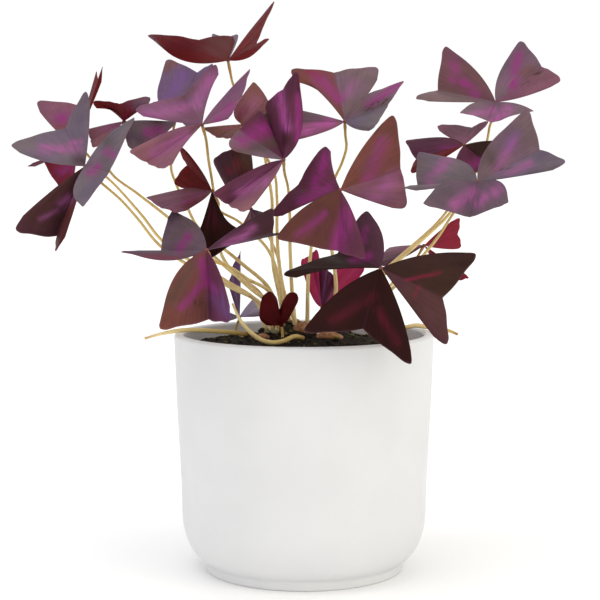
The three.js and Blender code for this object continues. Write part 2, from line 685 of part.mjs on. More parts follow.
// Overlapping scales give the rhizome a saw-toothed outline.
function rhizomeRadius(radius, share) {
  const along = THREE.MathUtils.lerp(BLUNT_END, 1 - BLUNT_END, share);
  const body = Math.sqrt(Math.sin(Math.PI * along));
  return radius * body * (1 - SCALE_RELIEF * ((share * SCALE_ROWS) % 1));
}

const plant = new THREE.Group();
const holes = [];

function place(name, geometry, material) {
  const mesh = new THREE.Mesh(geometry, material);
  mesh.name = name;
  plant.add(mesh);
}

// A bar that stands or lies in the soil, with the hole that it needs there.
function placeBar(name, path, steps, sides, radiusAt, material) {
  const spaced = spacedAlong(path, steps);
  const radii = spaced.map((_, i) => radiusAt(i / steps));
  place(name, bar(spaced, sides, radii), material);
  holes.push(soilHole(spaced, sides, radii));
}

place('pot', turned(potProfile()), COLOURS.ceramic);

Object.entries(LEAVES).forEach(([letter, leaf]) => {
  const points = leafPoints(leaf);
  place(`leaf_${letter}_blade`, leafBlade(points), COLOURS.blade);
  const path = stalkPath(leaf, points);
  placeBar(`leaf_${letter}_stalk`, path, STALK_STEPS, STALK_SIDES, stalkRadius, COLOURS.stalk);
});

const youngHub = seen(...YOUNG.hub);
const youngPath = youngStalkPath(youngHub);
place('young_leaf_blade', youngBlade(youngHub), COLOURS.youngBlade);
placeBar('young_leaf_stalk', youngPath, YOUNG_STEPS, STALK_SIDES, () => STALK_TOP, COLOURS.stalk);

Object.entries(BARE_STALKS).forEach(([side, { places, radius }]) => {
  const path = places.map((pixel) => seen(...pixel));
  placeBar(`bare_stalk_${side}`, path, 2 * places.length, STALK_SIDES, () => radius, COLOURS.stalk);
});

RHIZOMES.forEach((rhizome, i) => {
  const path = rhizomePath(rhizome);
  const radiusAt = (share) => rhizomeRadius(rhizome.radius, share);
  placeBar(`rhizome_${i + 1}`, path, RHIZOME_STEPS, RHIZOME_SIDES, radiusAt, COLOURS.rhizome);
});

place('soil', fromSolid(soilBody()), COLOURS.soil);

export default plant;
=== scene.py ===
# A potted purple shamrock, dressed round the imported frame.
# Shapes are worked out in millimetres in the frame's own axes, and meshes are written in metres.

import random
from collections import namedtuple
from math import asin, cos, degrees, exp, hypot, pi, radians, sin, sqrt

import bpy
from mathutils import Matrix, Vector, noise


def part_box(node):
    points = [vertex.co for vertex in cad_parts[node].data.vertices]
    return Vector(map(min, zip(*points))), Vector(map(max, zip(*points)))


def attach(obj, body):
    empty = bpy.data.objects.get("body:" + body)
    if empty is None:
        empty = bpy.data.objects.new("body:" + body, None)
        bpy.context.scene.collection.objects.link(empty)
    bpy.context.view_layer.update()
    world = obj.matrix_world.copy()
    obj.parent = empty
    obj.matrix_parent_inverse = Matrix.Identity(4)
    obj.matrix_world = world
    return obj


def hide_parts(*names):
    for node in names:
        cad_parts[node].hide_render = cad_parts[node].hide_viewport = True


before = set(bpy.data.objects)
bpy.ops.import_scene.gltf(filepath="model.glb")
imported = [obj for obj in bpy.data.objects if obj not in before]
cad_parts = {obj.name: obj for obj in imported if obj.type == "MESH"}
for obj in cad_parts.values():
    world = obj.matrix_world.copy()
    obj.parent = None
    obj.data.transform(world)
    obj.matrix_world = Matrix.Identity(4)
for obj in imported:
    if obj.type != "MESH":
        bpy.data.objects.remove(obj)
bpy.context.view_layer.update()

MM = 0.001


# The front view: the eye in mm, how far it looks down, its focal length and its picture in pixels

EYE = Vector((-2, -819.3, 210.2))
PITCH = radians(5.2)
FOCAL = 1642
PICTURE = 600
MIDDLE = PICTURE / 2


def sight_line(across, down):
    """Direction from the eye through a pixel of the front view."""
    right = (across - MIDDLE) / FOCAL
    up = (MIDDLE - down) / FOCAL
    forward = cos(PITCH) + up * sin(PITCH)
    rise = up * cos(PITCH) - sin(PITCH)
    return Vector((right, forward, rise))


def shown(point):
    """Pixel place of a point, the reverse of seen."""
    way = point - EYE
    ahead = way.y * cos(PITCH) - way.z * sin(PITCH)
    above = way.y * sin(PITCH) + way.z * cos(PITCH)
    return Vector((MIDDLE + FOCAL * way.x / ahead, MIDDLE - FOCAL * above / ahead))


def seen(across, down, depth):
    """Point on a pixel's sight line at a depth along Y."""
    line = sight_line(across, down)
    return EYE + line * ((depth - EYE.y) / line.y)


# The pot, in the frame's sizes. Its shoulder is part of an ellipse.

POT_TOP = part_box("pot")[1] / MM
RIM_RADIUS = POT_TOP.x
POT_HEIGHT = POT_TOP.z
POT_WALL = 5
LIP_ROUND = 1.6
FOOT_RADIUS = 50
FOOT_HEIGHT = 6
FOOT_RING = 6
FOOT_ROUND = 1
FOOT_HOLLOW = 1.2
SHOULDER_CENTRE = 45.5
SHOULDER_TOP = 30
SHOULDER_ACROSS = 16
SHOULDER_DOWN = 26.5
SHOULDER_START = 1.6
WALL_TOP = 85
WALL_LOW = 45

# The soil, mounded under the plant's crown

SOIL_EDGE = 112.5
SOIL_MOUND = 12
MOUND_REACH = 48


def soil_height(x, y):
    """Height of the soil without its lumps."""
    share = min(1, hypot(x, y) / MOUND_REACH)
    return SOIL_EDGE + SOIL_MOUND * 0.5 * (1 + cos(pi * share))


def ground(x, y, rise=0):
    """Point on the soil without its lumps, or above it."""
    return Vector((x, y, soil_height(x, y) + rise))


# Leaves: places as in the frame's own table. LOBE is from the hub to a lobe, FOLD how far the notch
# lies under the lobes, and ARCH and WAVE how far a half rises and ripples, for a leaf of size 1.

LOBE = 45
FOLD = 5
ARCH = 1.7
WAVE = 0.3
WAVE_TURN = 9
SIDE_SWELL = 0.05
# Half a leaflet's edge, from the notch round the lobe to the side.
HALF_EDGE = [(1, 0), (0.77, 0.27), (0.43, 0.62), (0.18, 0.885), (0.025, 0.98), (-0.05, 0.9)]
AWAY = "away"
NEAR = "near"

# hub: pixel across, pixel down, depth in mm. foot: where the stalk leaves the soil, in mm.
# looks: the name in LOOKS of each leaflet, or of its left and right half. stalk: pixel places that
# the stalk passes. leaflets: left lobe, notch and right lobe, each a pixel place with AWAY, NEAR or
# a depth from the hub, and how far the left and right sides swell and bend.
Leaf = namedtuple("Leaf", "hub size foot looks stalk leaflets")
LEAVES = {
    "a": Leaf((85, 166, -22), 1, (-16, -2.5), "slate, slate, maroon cocoa",
        [(260, 303), (228, 286), (162.5, 248), (137.5, 218.5), (121, 200), (101, 182.5)],
        [((11.5, 149, AWAY), (66, 129), (89.5, 93.5, AWAY), (0.12, 0.05)),
         ((137, 117.5, NEAR), (110.5, 172), (83.5, 209.5, NEAR), (0.3, 0.4)),
         ((60.5, 249, -16), (58, 236, 4), (14.5, 225.5, -8), (0.25, 0.05))]),
    "b": Leaf((75, 148, 32), 0.93, (-19.5, 4), "rose, wine, rose crimson",
        [(257, 302), (226, 281), (165.5, 244), (142, 215.5), (114, 184, 34), (94, 166, 39)],
        [((36.4, 105.5, AWAY), (80, 106, 26), (88, 103, 30)), ((98, 76, 12), (99, 84, 2), (105, 70.5, -10)),
         ((28.5, 169, NEAR), (44, 160, -22), (68, 191, NEAR), (0.25, 0.1))]),
    "c": Leaf((124, 121.5, 18), 0.7, (-17, 9.5), "ash wine, rose, iron",
        [(262, 296), (232, 272), (170, 219), (138, 194), (111, 173), (105, 155)],
        [((151, 101, -24), (119, 104.5, -20), (93, 105.5, -24), (0, -0.4)),
         ((95, 149, -24), (91, 140, -16), (89.5, 130, -10)),
         ((175, 122.5, 6), (155, 144, -6), (130, 150, -20))]),
    "d": Leaf((202, 124.7, -44), 1, (-13.5, -13.5), "mauve, rose, mauve",
        [(276, 310, -14), (250, 288, -18), (228, 266, -21), (219.5, 249, -21), (216.5, 220, -18),
         (213, 187, -14), (208.5, 160, -28)],
        [((136, 113.5, AWAY), (184, 97), (219, 67, AWAY), (0.05, -0.1)),
         ((166, 169.8, NEAR), (147, 163), (130, 150, NEAR), (-0.1, 0.25)),
         ((250, 71.5, 17), (243, 97, -3), (233, 116, -24), (0.22, 0.05))]),
    "e": Leaf((242.4, 124.4, 0), 0.92, (-4.5, 1.5), "clay, clay, umber",
        [(284, 292), (279, 262), (277, 229), (277, 199), (274, 172), (260, 150)],
        [((251, 85, 24), (266, 99, 20), (274, 118, 26), (0.6, 0.05)),
         ((230, 141, -24), (216, 138, -22), (203, 130, -18)),
         ((280, 110, 20), (281, 125, 4), (280, 140, -18))]),
    "f": Leaf((283.6, 159.8, -50), 1.02, (-4.5, -6), "plum, ash plum, rose plum",
        [(292, 291, -4), (291, 270, -8), (290, 245, -12), (290, 220, -16), (288.4, 190.6, -25)],
        [((267, 112, 24), (284, 90, 20), (300.5, 76, 14), (0.05, 0.1, 0, -6)),
         ((229, 149, -22), (239, 130.5, 2), (262.5, 113.8, 24)),
         ((247.6, 212.3, NEAR), (228.4, 205), (213.8, 191.4, NEAR), (0.1, 0.2))]),
    "g": Leaf((251, 209, 8), 0.85, (-7, 10), "dusk maroon, crimson dusk, dusk",
        [(282, 290, 13), (278, 258, 15), (264, 228, 13)],
        [((215.5, 166, 24), (230, 150.5, 20), (251, 154.5, 24), (0.35, 0.1)),
         ((240, 236, 20), (246, 230, 26), (258, 224, 32)),
         ((268, 216, -14), (262, 224, -20), (252, 228, -24))]),
    "h": Leaf((212, 191, -25), 0.7, (-10.5, -2.5), "rose, wine, night",
        [(282, 300), (279, 279), (270, 253), (260, 240), (238, 221), (219, 210)],
        [((180, 214.5, -18), (160, 208, -14), (149, 198.5, 6), (0.1, 0.55)),
         ((177, 186, 20), (188, 165.5, 20), (183, 145.5, 20), (0.05, 0.3)),
         ((240, 236, -10), (209, 259, -10), (191, 252, -10), (-0.12, -0.1))]),
    "j": Leaf((206.7, 250, -74), 1, (-16.5, -9), "iron, dusk iron, plum brown",
        [(272, 296, -13), (247, 278.6, -30), (228, 266)],
        [((121.7, 254.5, AWAY), (161.5, 253, 24), (176, 212, AWAY), (0.05, 0.2, -4, 0)),
         ((268.6, 210.5, AWAY), (272, 233, 18), (288.4, 229.5, AWAY), (0.1, 0.06)),
         ((233.5, 317.5, NEAR), (209.3, 319.7, -14), (157.5, 327, NEAR), (0.14, 0.3))]),
    "k": Leaf((340.3, 189.8, -46), 1.02, (1.5, -10), "brown rose, plum, plum chestnut",
        [(307.5, 312), (308, 280), (311, 249), (313, 225), (318, 201, -38)],
        [((389.5, 115.5, 21), (399.8, 168.4, 16), (401.5, 208.7, 26), (0.1, 0.02)),
         ((274, 218.5, 6), (299, 185, 20), (327.8, 147.5, 30), (-0.03, -0.06)),
         ((366.5, 257.5, NEAR), (338, 251.5), (275.6, 237, NEAR), (0.12, 0.12))]),
    "l": Leaf((344.8, 121.5, -6), 0.98, (13.5, -1), "brown ash, ash slate, rose ash",
        [(336, 290), (335, 273), (332, 251), (329, 225), (330, 200), (335, 178), (341.5, 164),
         (346.5, 147)],
        [((289.7, 74.5, AWAY), (333.7, 73.7), (379.8, 72.5, AWAY), (-0.26, 0.05)),
         ((403.5, 84, 16), (389, 105, -5), (374, 130.5, -27), (0.1, 0.1, 5, 0)),
         ((284, 142.5, -14), (279, 124, -6), (276, 106, -4), (0.15, 0.05))]),
    "m": Leaf((228, 60.5, 22), 1, (-10, 5.5), "slate, slate, slate",
        [(279, 293), (274, 270), (271.7, 240), (272, 199, 12), (268, 175, 17), (263, 150, 25),
         (246, 114, 35), (233, 84, 31)],
        [((234, 40, -40), (199, 41, -31), (147, 38.5, -19), (0, 0.55, 0, -3)),
         ((270, 41.5, 26), (257, 45, 8), (275.5, 3, -18), (0.1, 0.1, -3, 0)),
         ((212, 37.5, AWAY), (226, 41, 32), (238, 38, AWAY))]),
    "n": Leaf((495.8, 102.1, 30), 0.92, (14.5, 9.5), "ash russet, ash rose, ash",
        [(360, 298, 10), (398, 261, 8), (419, 242.6, 9), (433, 230, 12), (447, 216.7, 12), (472, 180, 15),
         (486.5, 143, 20), (490, 125, 25)],
        [((417.6, 101, -16), (437.5, 91.5, 1), (447.3, 47.4, 20), (0.05, 0.14)),
         ((518, 43.5, 25), (542, 67.5, 6), (559.6, 84, -10), (0.2, 0.1)),
         ((535, 112, NEAR), (493, 123, -26), (458.6, 113.8, NEAR), (0.14, 0.28))]),
    "o": Leaf((477.5, 182, -30), 1, (19.5, 2.5), "ash slate, slate, iron",
        [(362, 311), (392, 289), (426, 252), (439, 235.5), (449, 220), (464, 200)],
        [((524.5, 111, 10), (540, 150.5, -4), (564.5, 166.5, -17), (0.3, 0.05)),
         ((406, 191.5, -12), (417.6, 186, 10), (422.5, 153.5, 27), (0.05, 0.35)),
         ((510.5, 203.5, NEAR), (470, 218, -28), (421.5, 204.5, NEAR), (0.35, 0.38))]),
    "p": Leaf((464.2, 145, 10), 0.82, (8.5, 7.5), "rose, wine plum, umber plum",
        [(345, 300, 14), (382, 272, 16), (412, 246, 20), (438, 222, 22), (455, 199, 20), (469, 168, 16)],
        [((437, 128.5, AWAY), (472, 128.5, 24), (488, 124.5, AWAY)),
         ((414.5, 175, -12), (416.5, 160, 2), (408.5, 141, 18), (0.05, 0.3)),
         ((500, 142, -8), (490, 168, -14), (457, 181, -20), (0.05, 0.15))]),
    "q": Leaf((424, 245.5, 32), 0.8, (21, 9), "crimson, plum rose, crimson",
        [(356, 314), (385, 291), (408, 266)],
        [((455.5, 218.5, 22), (456.5, 234, 20), (456.5, 249, 20)),
         ((385, 268, -14), (383, 258.5, 2), (392, 249.5, 18), (0.05, 0.15)),
         ((467, 277, -12), (458, 281, -14), (449, 284, -20))]),
    "r": Leaf((381, 268, -72), 1.07, (15.5, -8.5), "umber dusk, umber cocoa, night",
        [(342, 312), (360, 292)],
        [((284.5, 278, AWAY), (338, 254.3, 26), (370, 212.2, 35), (-0.08, 0.17, 1.5, 0)),
         ((473.8, 252.5, 10), (442.3, 298.4, 1), (443, 346, -15), (0.12, 0)),
         ((413, 363, -16), (362.7, 329, -6), (302.5, 329, -16), (0.1, 0.18))]),
    "t": Leaf((322, 307, 28), 0.72, (8.5, 17), "magenta, magenta, plum",
        [],
        [((300.5, 266, 16), (310, 257.5, 22), (319, 254.5, 22), (0.3, 0.05)),
         ((338, 266, 22), (352, 266, 18), (364, 273, 12)),
         ((335, 285, -20), (328, 272, -18), (319, 267, -12))]),
    "u": Leaf((239.5, 317, 28), 0.78, (-30.5, 27), "violet, violet, violet",
        [],
        [((227.5, 283, -10), (231, 269, -2), (239, 252.5, 7)),
         ((251, 302, 24), (259, 308, 18), (264, 316, 14)),
         ((222, 323, -22), (213, 317, -14), (208, 306, 0))]),
    "x": Leaf((176, 116, 36), 0.95, (-13, 14.5), "violet, violet, violet",
        [(270, 290), (240, 262), (197, 226), (189, 211), (176, 184), (171, 168), (174, 138)],
        [((164.5, 63.5, AWAY), (197, 73.5, 27), (213, 69, AWAY), (0.45, 0.05)),
         ((152, 113, -26), (148, 110, -2), (156, 105, 26)),
         ((199, 112, 26), (197, 121, 14), (193, 131, -8))]),
}

YOUNG_HUB = (281.5, 325.5, -20)
YOUNG_FOOT = (-10.5, -19.5)
YOUNG_CUP = 2
YOUNG_EDGE = [
    (266, 325, -2), (260, 319, -3), (260, 307, -3), (263, 296, -1), (270.5, 291.5, 1), (276.5, 298, 2),
    (279.5, 309, 3), (283.5, 300, 2), (289, 293, 1), (296, 293, -1), (298.5, 299, -2), (294, 309, -3),
    (288, 320, -2),
]

# Places that a bare stalk passes, and how thin it is at its start and end.
BARE_RADIUS = 1.15
BARE_STALKS = {
    "left": ([(144.6, 338.5, -12), (160.7, 333.9, -11), (183.6, 330.2, -10), (214, 331, -9),
              (247.9, 334, -7)], 0.55, 1),
    "front": ([(232.4, 303.4, -38), (239.9, 319.5, -37), (250.2, 332, -36), (261.7, 340, -35),
               (272, 342.5, -34), (283.5, 341, -32), (293.8, 336.7, -28.5), (303, 338, -23)], 0.5, 1),
    "right": ([(404.5, 328, 9), (414.8, 325.5, 10), (427.4, 327, 12), (448, 330.5, 13),
               (457.8, 334.4, 13)], 1, 0.6),
}

# Rhizomes: start, end, radius and rise above the soil, in mm.
RHIZOMES = [
    ((-5, -13.5), (5.5, -17), 3.3, 1.4),
    ((6, -21), (19, -15.5), 2.5, 0.8),
    ((-17, -17), (-24, -12), 2.2, 0.7),
]

# Leaf colours by name: upper side, its streak, how strong the streak is, under side.
LOOKS = {
    # The slate, ash and violet upper colours are greyed: partly the leaves' own colour, partly painted grey
    # sheen.
    "slate": ("#635762", "#8a4a80", 0.6, "#6a1013"),
    "ash": ("#6a555d", "#8a4a80", 0.6, "#6a1013"),
    "iron": ("#5b4a55", "#80407a", 0.6, "#5c1218"),
    "mauve": ("#704a61", "#94468a", 0.7, "#6e1c28"),
    "rose": ("#784e5c", "#8c3c74", 0.6, "#78182a"),
    "clay": ("#744b46", "#8c3c70", 0.5, "#6e1a20"),
    "violet": ("#634e66", "#80468a", 0.7, "#5c1e34"),
    "plum": ("#552a3e", "#842a6c", 0.8, "#6c142a"),
    "dusk": ("#4a2c38", "#6c2a58", 0.6, "#54121a"),
    "maroon": ("#4c2224", "#74264e", 0.6, "#541014"),
    "chestnut": ("#522e2a", "#843460", 0.5, "#66181e"),
    "brown": ("#663b36", "#843460", 0.5, "#66181e"),
    "russet": ("#5f4048", "#8a3a70", 0.5, "#66181e"),
    "cocoa": ("#472a2e", "#70264c", 0.6, "#541014"),
    "umber": ("#34201c", "#5c1a34", 0.6, "#400e12"),
    "wine": ("#5e1416", "#681824", 0.4, "#5e1416"),
    "night": ("#260d0b", "#501428", 0.5, "#2c0f0d"),
    # The bright crimson and magenta looks are partly the leaves' own colour, partly a painted glow of light
    # shining through the leaves from behind.
    "crimson": ("#781c30", "#842242", 0.5, "#781c30"),
    "magenta": ("#9c2854", "#a03068", 0.5, "#9c2854"),
    "young": ("#4c0a0e", "#5c0e18", 0.4, "#4c0a0e"),
}
# Paints that glow in the leaves, and paints that only tint them. Of these, the dark paint and the dark red
# paint are painted shade.
GLOWS = {
    "pink": "#9a5488", "magenta": "#882a70", "orchid": "#a85092", "violet": "#704a84", "crimson": "#7c1a3a",
}
SHADES = {
    "lavender": "#7e7084", "mist": "#8f86a2", "rust": "#6b3f2a", "brown": "#4c332a", "olive": "#484036",
    "dark": "#2e161a", "garnet": "#521018",
}
# A stroke of old damage.
SCAR = "scar"
# Strokes over a leaf or leaflet: paint, across and down of both ends, width in pixels, strength.
# The dark strokes on a1 and f1 and the dark red strokes on e1 and h1 are painted shade.
STROKES = {
    "a1": [("pink", 42, 149, 78, 149, 9, 0.75), ("pink", 70, 144, 80, 142, 6, 0.9),
           ("dark", 78, 160, 86, 162, 11, 0.6)],
    "a2": [("magenta", 108, 152, 113, 154, 8, 0.9), ("magenta", 90, 173, 98, 168, 9, 0.8),
           ("olive", 100, 130, 107, 142, 13, 0.6)],
    "a3": [("pink", 40, 219, 58, 210, 4, 0.7), ("pink", 62, 204, 69, 199, 8, 0.8)],
    "b1": [("magenta", 60, 119, 71, 117, 10, 0.85), ("rust", 59, 126, 69, 126, 8, 0.6)],
    "b3": [("magenta", 60, 172, 73, 168, 9, 0.85)],
    "c1": [("lavender", 134, 103, 150, 99, 13, 0.6), ("crimson", 131, 102, 125, 120, 5, 0.8)],
    "c3": [("magenta", 148, 133, 160, 131, 10, 0.75)],
    "d1": [("pink", 145, 117, 198, 105, 10, 0.8), ("pink", 194, 105, 211, 79, 10, 0.8),
           ("brown", 184, 97, 193, 90, 9, 0.5)],
    "d2": [("pink", 154, 153, 186, 136, 10, 0.85)],
    "d3": [("magenta", 217, 120, 233, 106, 8, 0.85)],
    "e1": [("pink", 244, 113, 255, 104, 14, 0.35), ("garnet", 236, 123, 243, 111, 9, 0.7)],
    "f1": [("orchid", 278, 90, 287, 127, 9, 0.95), ("magenta", 299, 96, 298, 140, 6, 0.85),
           ("dark", 286, 128, 286, 142, 8, 0.6)],
    "f2": [("magenta", 241, 141, 274, 124, 14, 0.95), ("olive", 238, 152, 278, 141, 10, 0.6)],
    "f3": [("pink", 240, 193, 264, 180, 10, 0.8)],
    "g1": [("olive", 238, 164, 246, 158, 15, 0.6), ("crimson", 230, 171, 238, 164, 9, 0.6)],
    "h1": [("garnet", 190, 203, 216, 209, 17, 0.7)],
    "j1": [("magenta", 180, 250, 189, 236, 8, 0.85), ("crimson", 128, 257, 190, 259, 5, 0.6)],
    "j2": [("pink", 241, 238, 253, 228, 8, 0.9), ("pink", 226, 245, 245, 236, 8, 0.8)],
    "j3": [("magenta", 202, 262, 206, 284, 8, 0.95), ("magenta", 205, 281, 182, 307, 7, 0.75),
           ("magenta", 205, 279, 217, 292, 7, 0.75), ("violet", 218, 294, 229, 315, 14, 0.55),
           ("olive", 172, 300, 192, 264, 12, 0.5), (SCAR, 195, 304, 200, 302, 6, 0.6)],
    "k1": [("magenta", 383, 142, 368, 179, 12, 0.65), ("pink", 373, 197, 393, 180, 16, 0.6),
           ("olive", 366, 170, 384, 136, 9, 0.35)],
    "k2": [("magenta", 327, 156, 315, 187, 10, 0.85), ("magenta", 302, 201, 329, 187, 9, 0.75)],
    "k3": [("magenta", 298, 236, 324, 214, 7, 0.45), ("magenta", 349, 213, 337, 247, 12, 0.95)],
    "l1": [("magenta", 317, 78, 339, 98, 11, 0.85), ("crimson", 307, 72, 318, 75, 8, 0.6),
           ("pink", 348, 94, 355, 83, 9, 0.5)],
    "l2": [("magenta", 369, 105, 399, 86, 8, 0.85), ("olive", 366, 110, 387, 101, 10, 0.6),
           (SCAR, 368, 109, 386, 101, 5, 1.0)],
    "l3": [("orchid", 306, 131, 331, 122, 9, 0.9)],
    "m1": [("lavender", 145, 34, 155, 44, 6, 0.7)],
    "n1": [("magenta", 454, 65, 454, 78, 10, 0.65), ("magenta", 463, 82, 476, 93, 9, 0.85)],
    "n2": [("magenta", 513, 85, 519, 56, 10, 0.85), ("rust", 522, 74, 530, 70, 9, 0.5),
           (SCAR, 534, 75, 541, 72, 3, 0.9), (SCAR, 522, 85, 528, 83, 3, 0.9)],
    "n3": [("pink", 471, 117, 493, 110, 8, 0.85), ("orchid", 494, 121, 508, 110, 9, 0.75)],
    "o1": [("pink", 498, 169, 514, 141, 9, 0.7), ("violet", 508, 146, 517, 135, 9, 0.6),
           ("pink", 507, 172, 530, 164, 7, 0.7), ("olive", 486, 150, 495, 166, 9, 0.5),
           (SCAR, 497, 171, 513, 168, 2, 0.6)],
    "o2": [("pink", 430, 180, 447, 161, 10, 0.7)],
    "o3": [("orchid", 455, 205, 473, 193, 11, 0.7), ("orchid", 477, 203, 497, 190, 11, 0.6)],
    "p3": [("magenta", 469, 166, 481, 161, 8, 0.6)],
    "r1": [("magenta", 352, 261, 369, 256, 7, 0.85), ("magenta", 363, 242, 366, 229, 6, 0.6)],
    "r2": [("crimson", 406, 280, 440, 273, 3, 0.7), ("crimson", 414, 298, 419, 286, 3, 0.4)],
    "r3": [("crimson", 333, 320, 373, 297, 9, 0.2), ("crimson", 378, 310, 396, 342, 8, 0.22)],
    "t": [("violet", 327, 272, 324, 300, 10, 0.6)],
    "u": [("violet", 238, 256, 233, 306, 9, 0.9), ("mist", 245, 314, 259, 304, 13, 0.9)],
    "x1": [("violet", 182, 76, 169, 100, 10, 0.9), ("rust", 165, 68, 175, 61, 8, 0.6)],
}
# How soft a stroke's edge is, and the share under which it doesn't show.
STROKE_SOFT = 0.6
STROKE_LEAST = 0.001
# A half with no glowing stroke has a band of its own, drawn between these limits: how far out it
# starts and ends, its width, how far it reaches and its strength.
BANDS = [(0.04, 0.14), (0.3, 0.5), (0.13, 0.22), (0.6, 0.85), (0.75, 1.05)]
BAND_FADE = 0.3
BAND_START = 0.15
BAND_EDGES = (0.1, 1.3)
HUB_COLOUR = "#74483e"
YOUNG_COLOUR = "#4c0a10"


def linear(code):
    """Linear red, green and blue of a colour code."""
    parts = [int(code[i:i + 2], 16) / 255 for i in (1, 3, 5)]
    return [c / 12.92 if c <= 0.04045 else ((c + 0.055) / 1.055) ** 2.4 for c in parts]


def paint(code):
    return (*linear(code), 1)


# Materials. Noise scales are in waves a metre, and bump distances in metres.

NOISE_RANGE = (0.3, 0.7)
FINE_GRAIN = 900
COOL_DRIFT = (0.98, 0.91, 1.02, 1)
WARM_DRIFT = (1.03, 1.02, 0.9, 1)
# The midrib colour is darker: partly the midrib's own colour, partly painted shade in the fold's crease.
MIDRIB_AND_CREASE_SHADE = (0.06, 0.012, 0.03, 1)
# The margin colour is lighter: partly the leaflet's own reddish rim, partly a painted edge highlight.
MARGIN_AND_EDGE_HIGHLIGHT = (0.32, 0.18, 0.24, 1)
DEAD = (0.03, 0.02, 0.008, 1)
BLOOM = (0.85, 0.8, 1.0, 1)
FLOOR_SHADES = ((0.96, 0.96, 0.96, 1), (0.94, 0.94, 0.94, 1))
STALK_STOPS = [(0.0, "#d0ab74"), (0.12, "#ead49c"), (0.55, "#e3c984"), (0.88, "#c8aa5c"), (1.0, "#9c7642")]


class Nodes:
    """The nodes of one material."""

    def __init__(self, name):
        self.material = bpy.data.materials.new(name)
        self.material.use_nodes = True
        self.tree = self.material.node_tree
        self.shader = next(n for n in self.tree.nodes if n.type == "BSDF_PRINCIPLED")

    def feed(self, node, inputs):
        """Links the inputs that are sockets, and sets the others but for those that are None."""
        for key, value in inputs.items():
            if isinstance(value, bpy.types.NodeSocket):
                self.tree.links.new(value, node.inputs[key])
            elif value is not None:
                node.inputs[key].default_value = value

    def add(self, kind, inputs=None, **settings):
        """The outputs of a new node."""
        node = self.tree.nodes.new(kind)
        for key, value in settings.items():
            setattr(node, key, value)
        self.feed(node, inputs or {})
        return node.outputs

    def attribute(self, name, output):
        return self.add("ShaderNodeAttribute", attribute_name=name)[output]

    def place(self):
        """The three parts of a point's place."""
        return self.add("ShaderNodeSeparateXYZ", {0: self.attribute("place", "Vector")})

    def times(self, a, b, clamp=False):
        return self.add("ShaderNodeMath", {0: a, 1: b}, operation="MULTIPLY", use_clamp=clamp)[0]

    def ranged(self, value, low, high, to_low=0.0, to_high=1.0, kind="SMOOTHSTEP"):
        """The value's range low to high, mapped with a smooth start and end."""
        inputs = {"Value": value, "From Min": low, "From Max": high, "To Min": to_low, "To Max": to_high}
        return self.add("ShaderNodeMapRange", inputs, interpolation_type=kind)["Result"]

    def varied(self, value, to_low=0.0, to_high=1.0):
        """A noise's usual range, mapped."""
        return self.ranged(value, *NOISE_RANGE, to_low, to_high)

    def mixed(self, factor, a, b, blend="MIX"):
        """Colour a to colour b by a factor."""
        return self.add("ShaderNodeMix", {0: factor, 6: a, 7: b}, data_type="RGBA", blend_type=blend)[2]

    def shaded(self, colour, shade):
        """The colour times a grey."""
        grey = self.add("ShaderNodeCombineColor", {0: shade, 1: shade, 2: shade})[0]
        return self.mixed(1.0, colour, grey, "MULTIPLY")

    def noised(self, scale, detail=2.0, roughness=0.5, vector=None):
        """Noise over a vector, or else over the object's own place."""
        if vector is None:
            vector = self.add("ShaderNodeTexCoord")["Object"]
        inputs = {"Vector": vector, "Scale": scale, "Detail": detail, "Roughness": roughness}
        return self.add("ShaderNodeTexNoise", inputs)["Fac"]

    def bumped(self, height, distance, strength, under=None):
        inputs = {"Height": height, "Distance": distance, "Strength": strength, "Normal": under}
        return self.add("ShaderNodeBump", inputs)["Normal"]

    def finish(self, colour, **inputs):
        """The material, with the shader's inputs named as in Blender but for _ between the words."""
        named = {key.replace("_", " "): value for key, value in inputs.items()}
        self.feed(self.shader, {"Base Color": colour, **named})
        return self.material


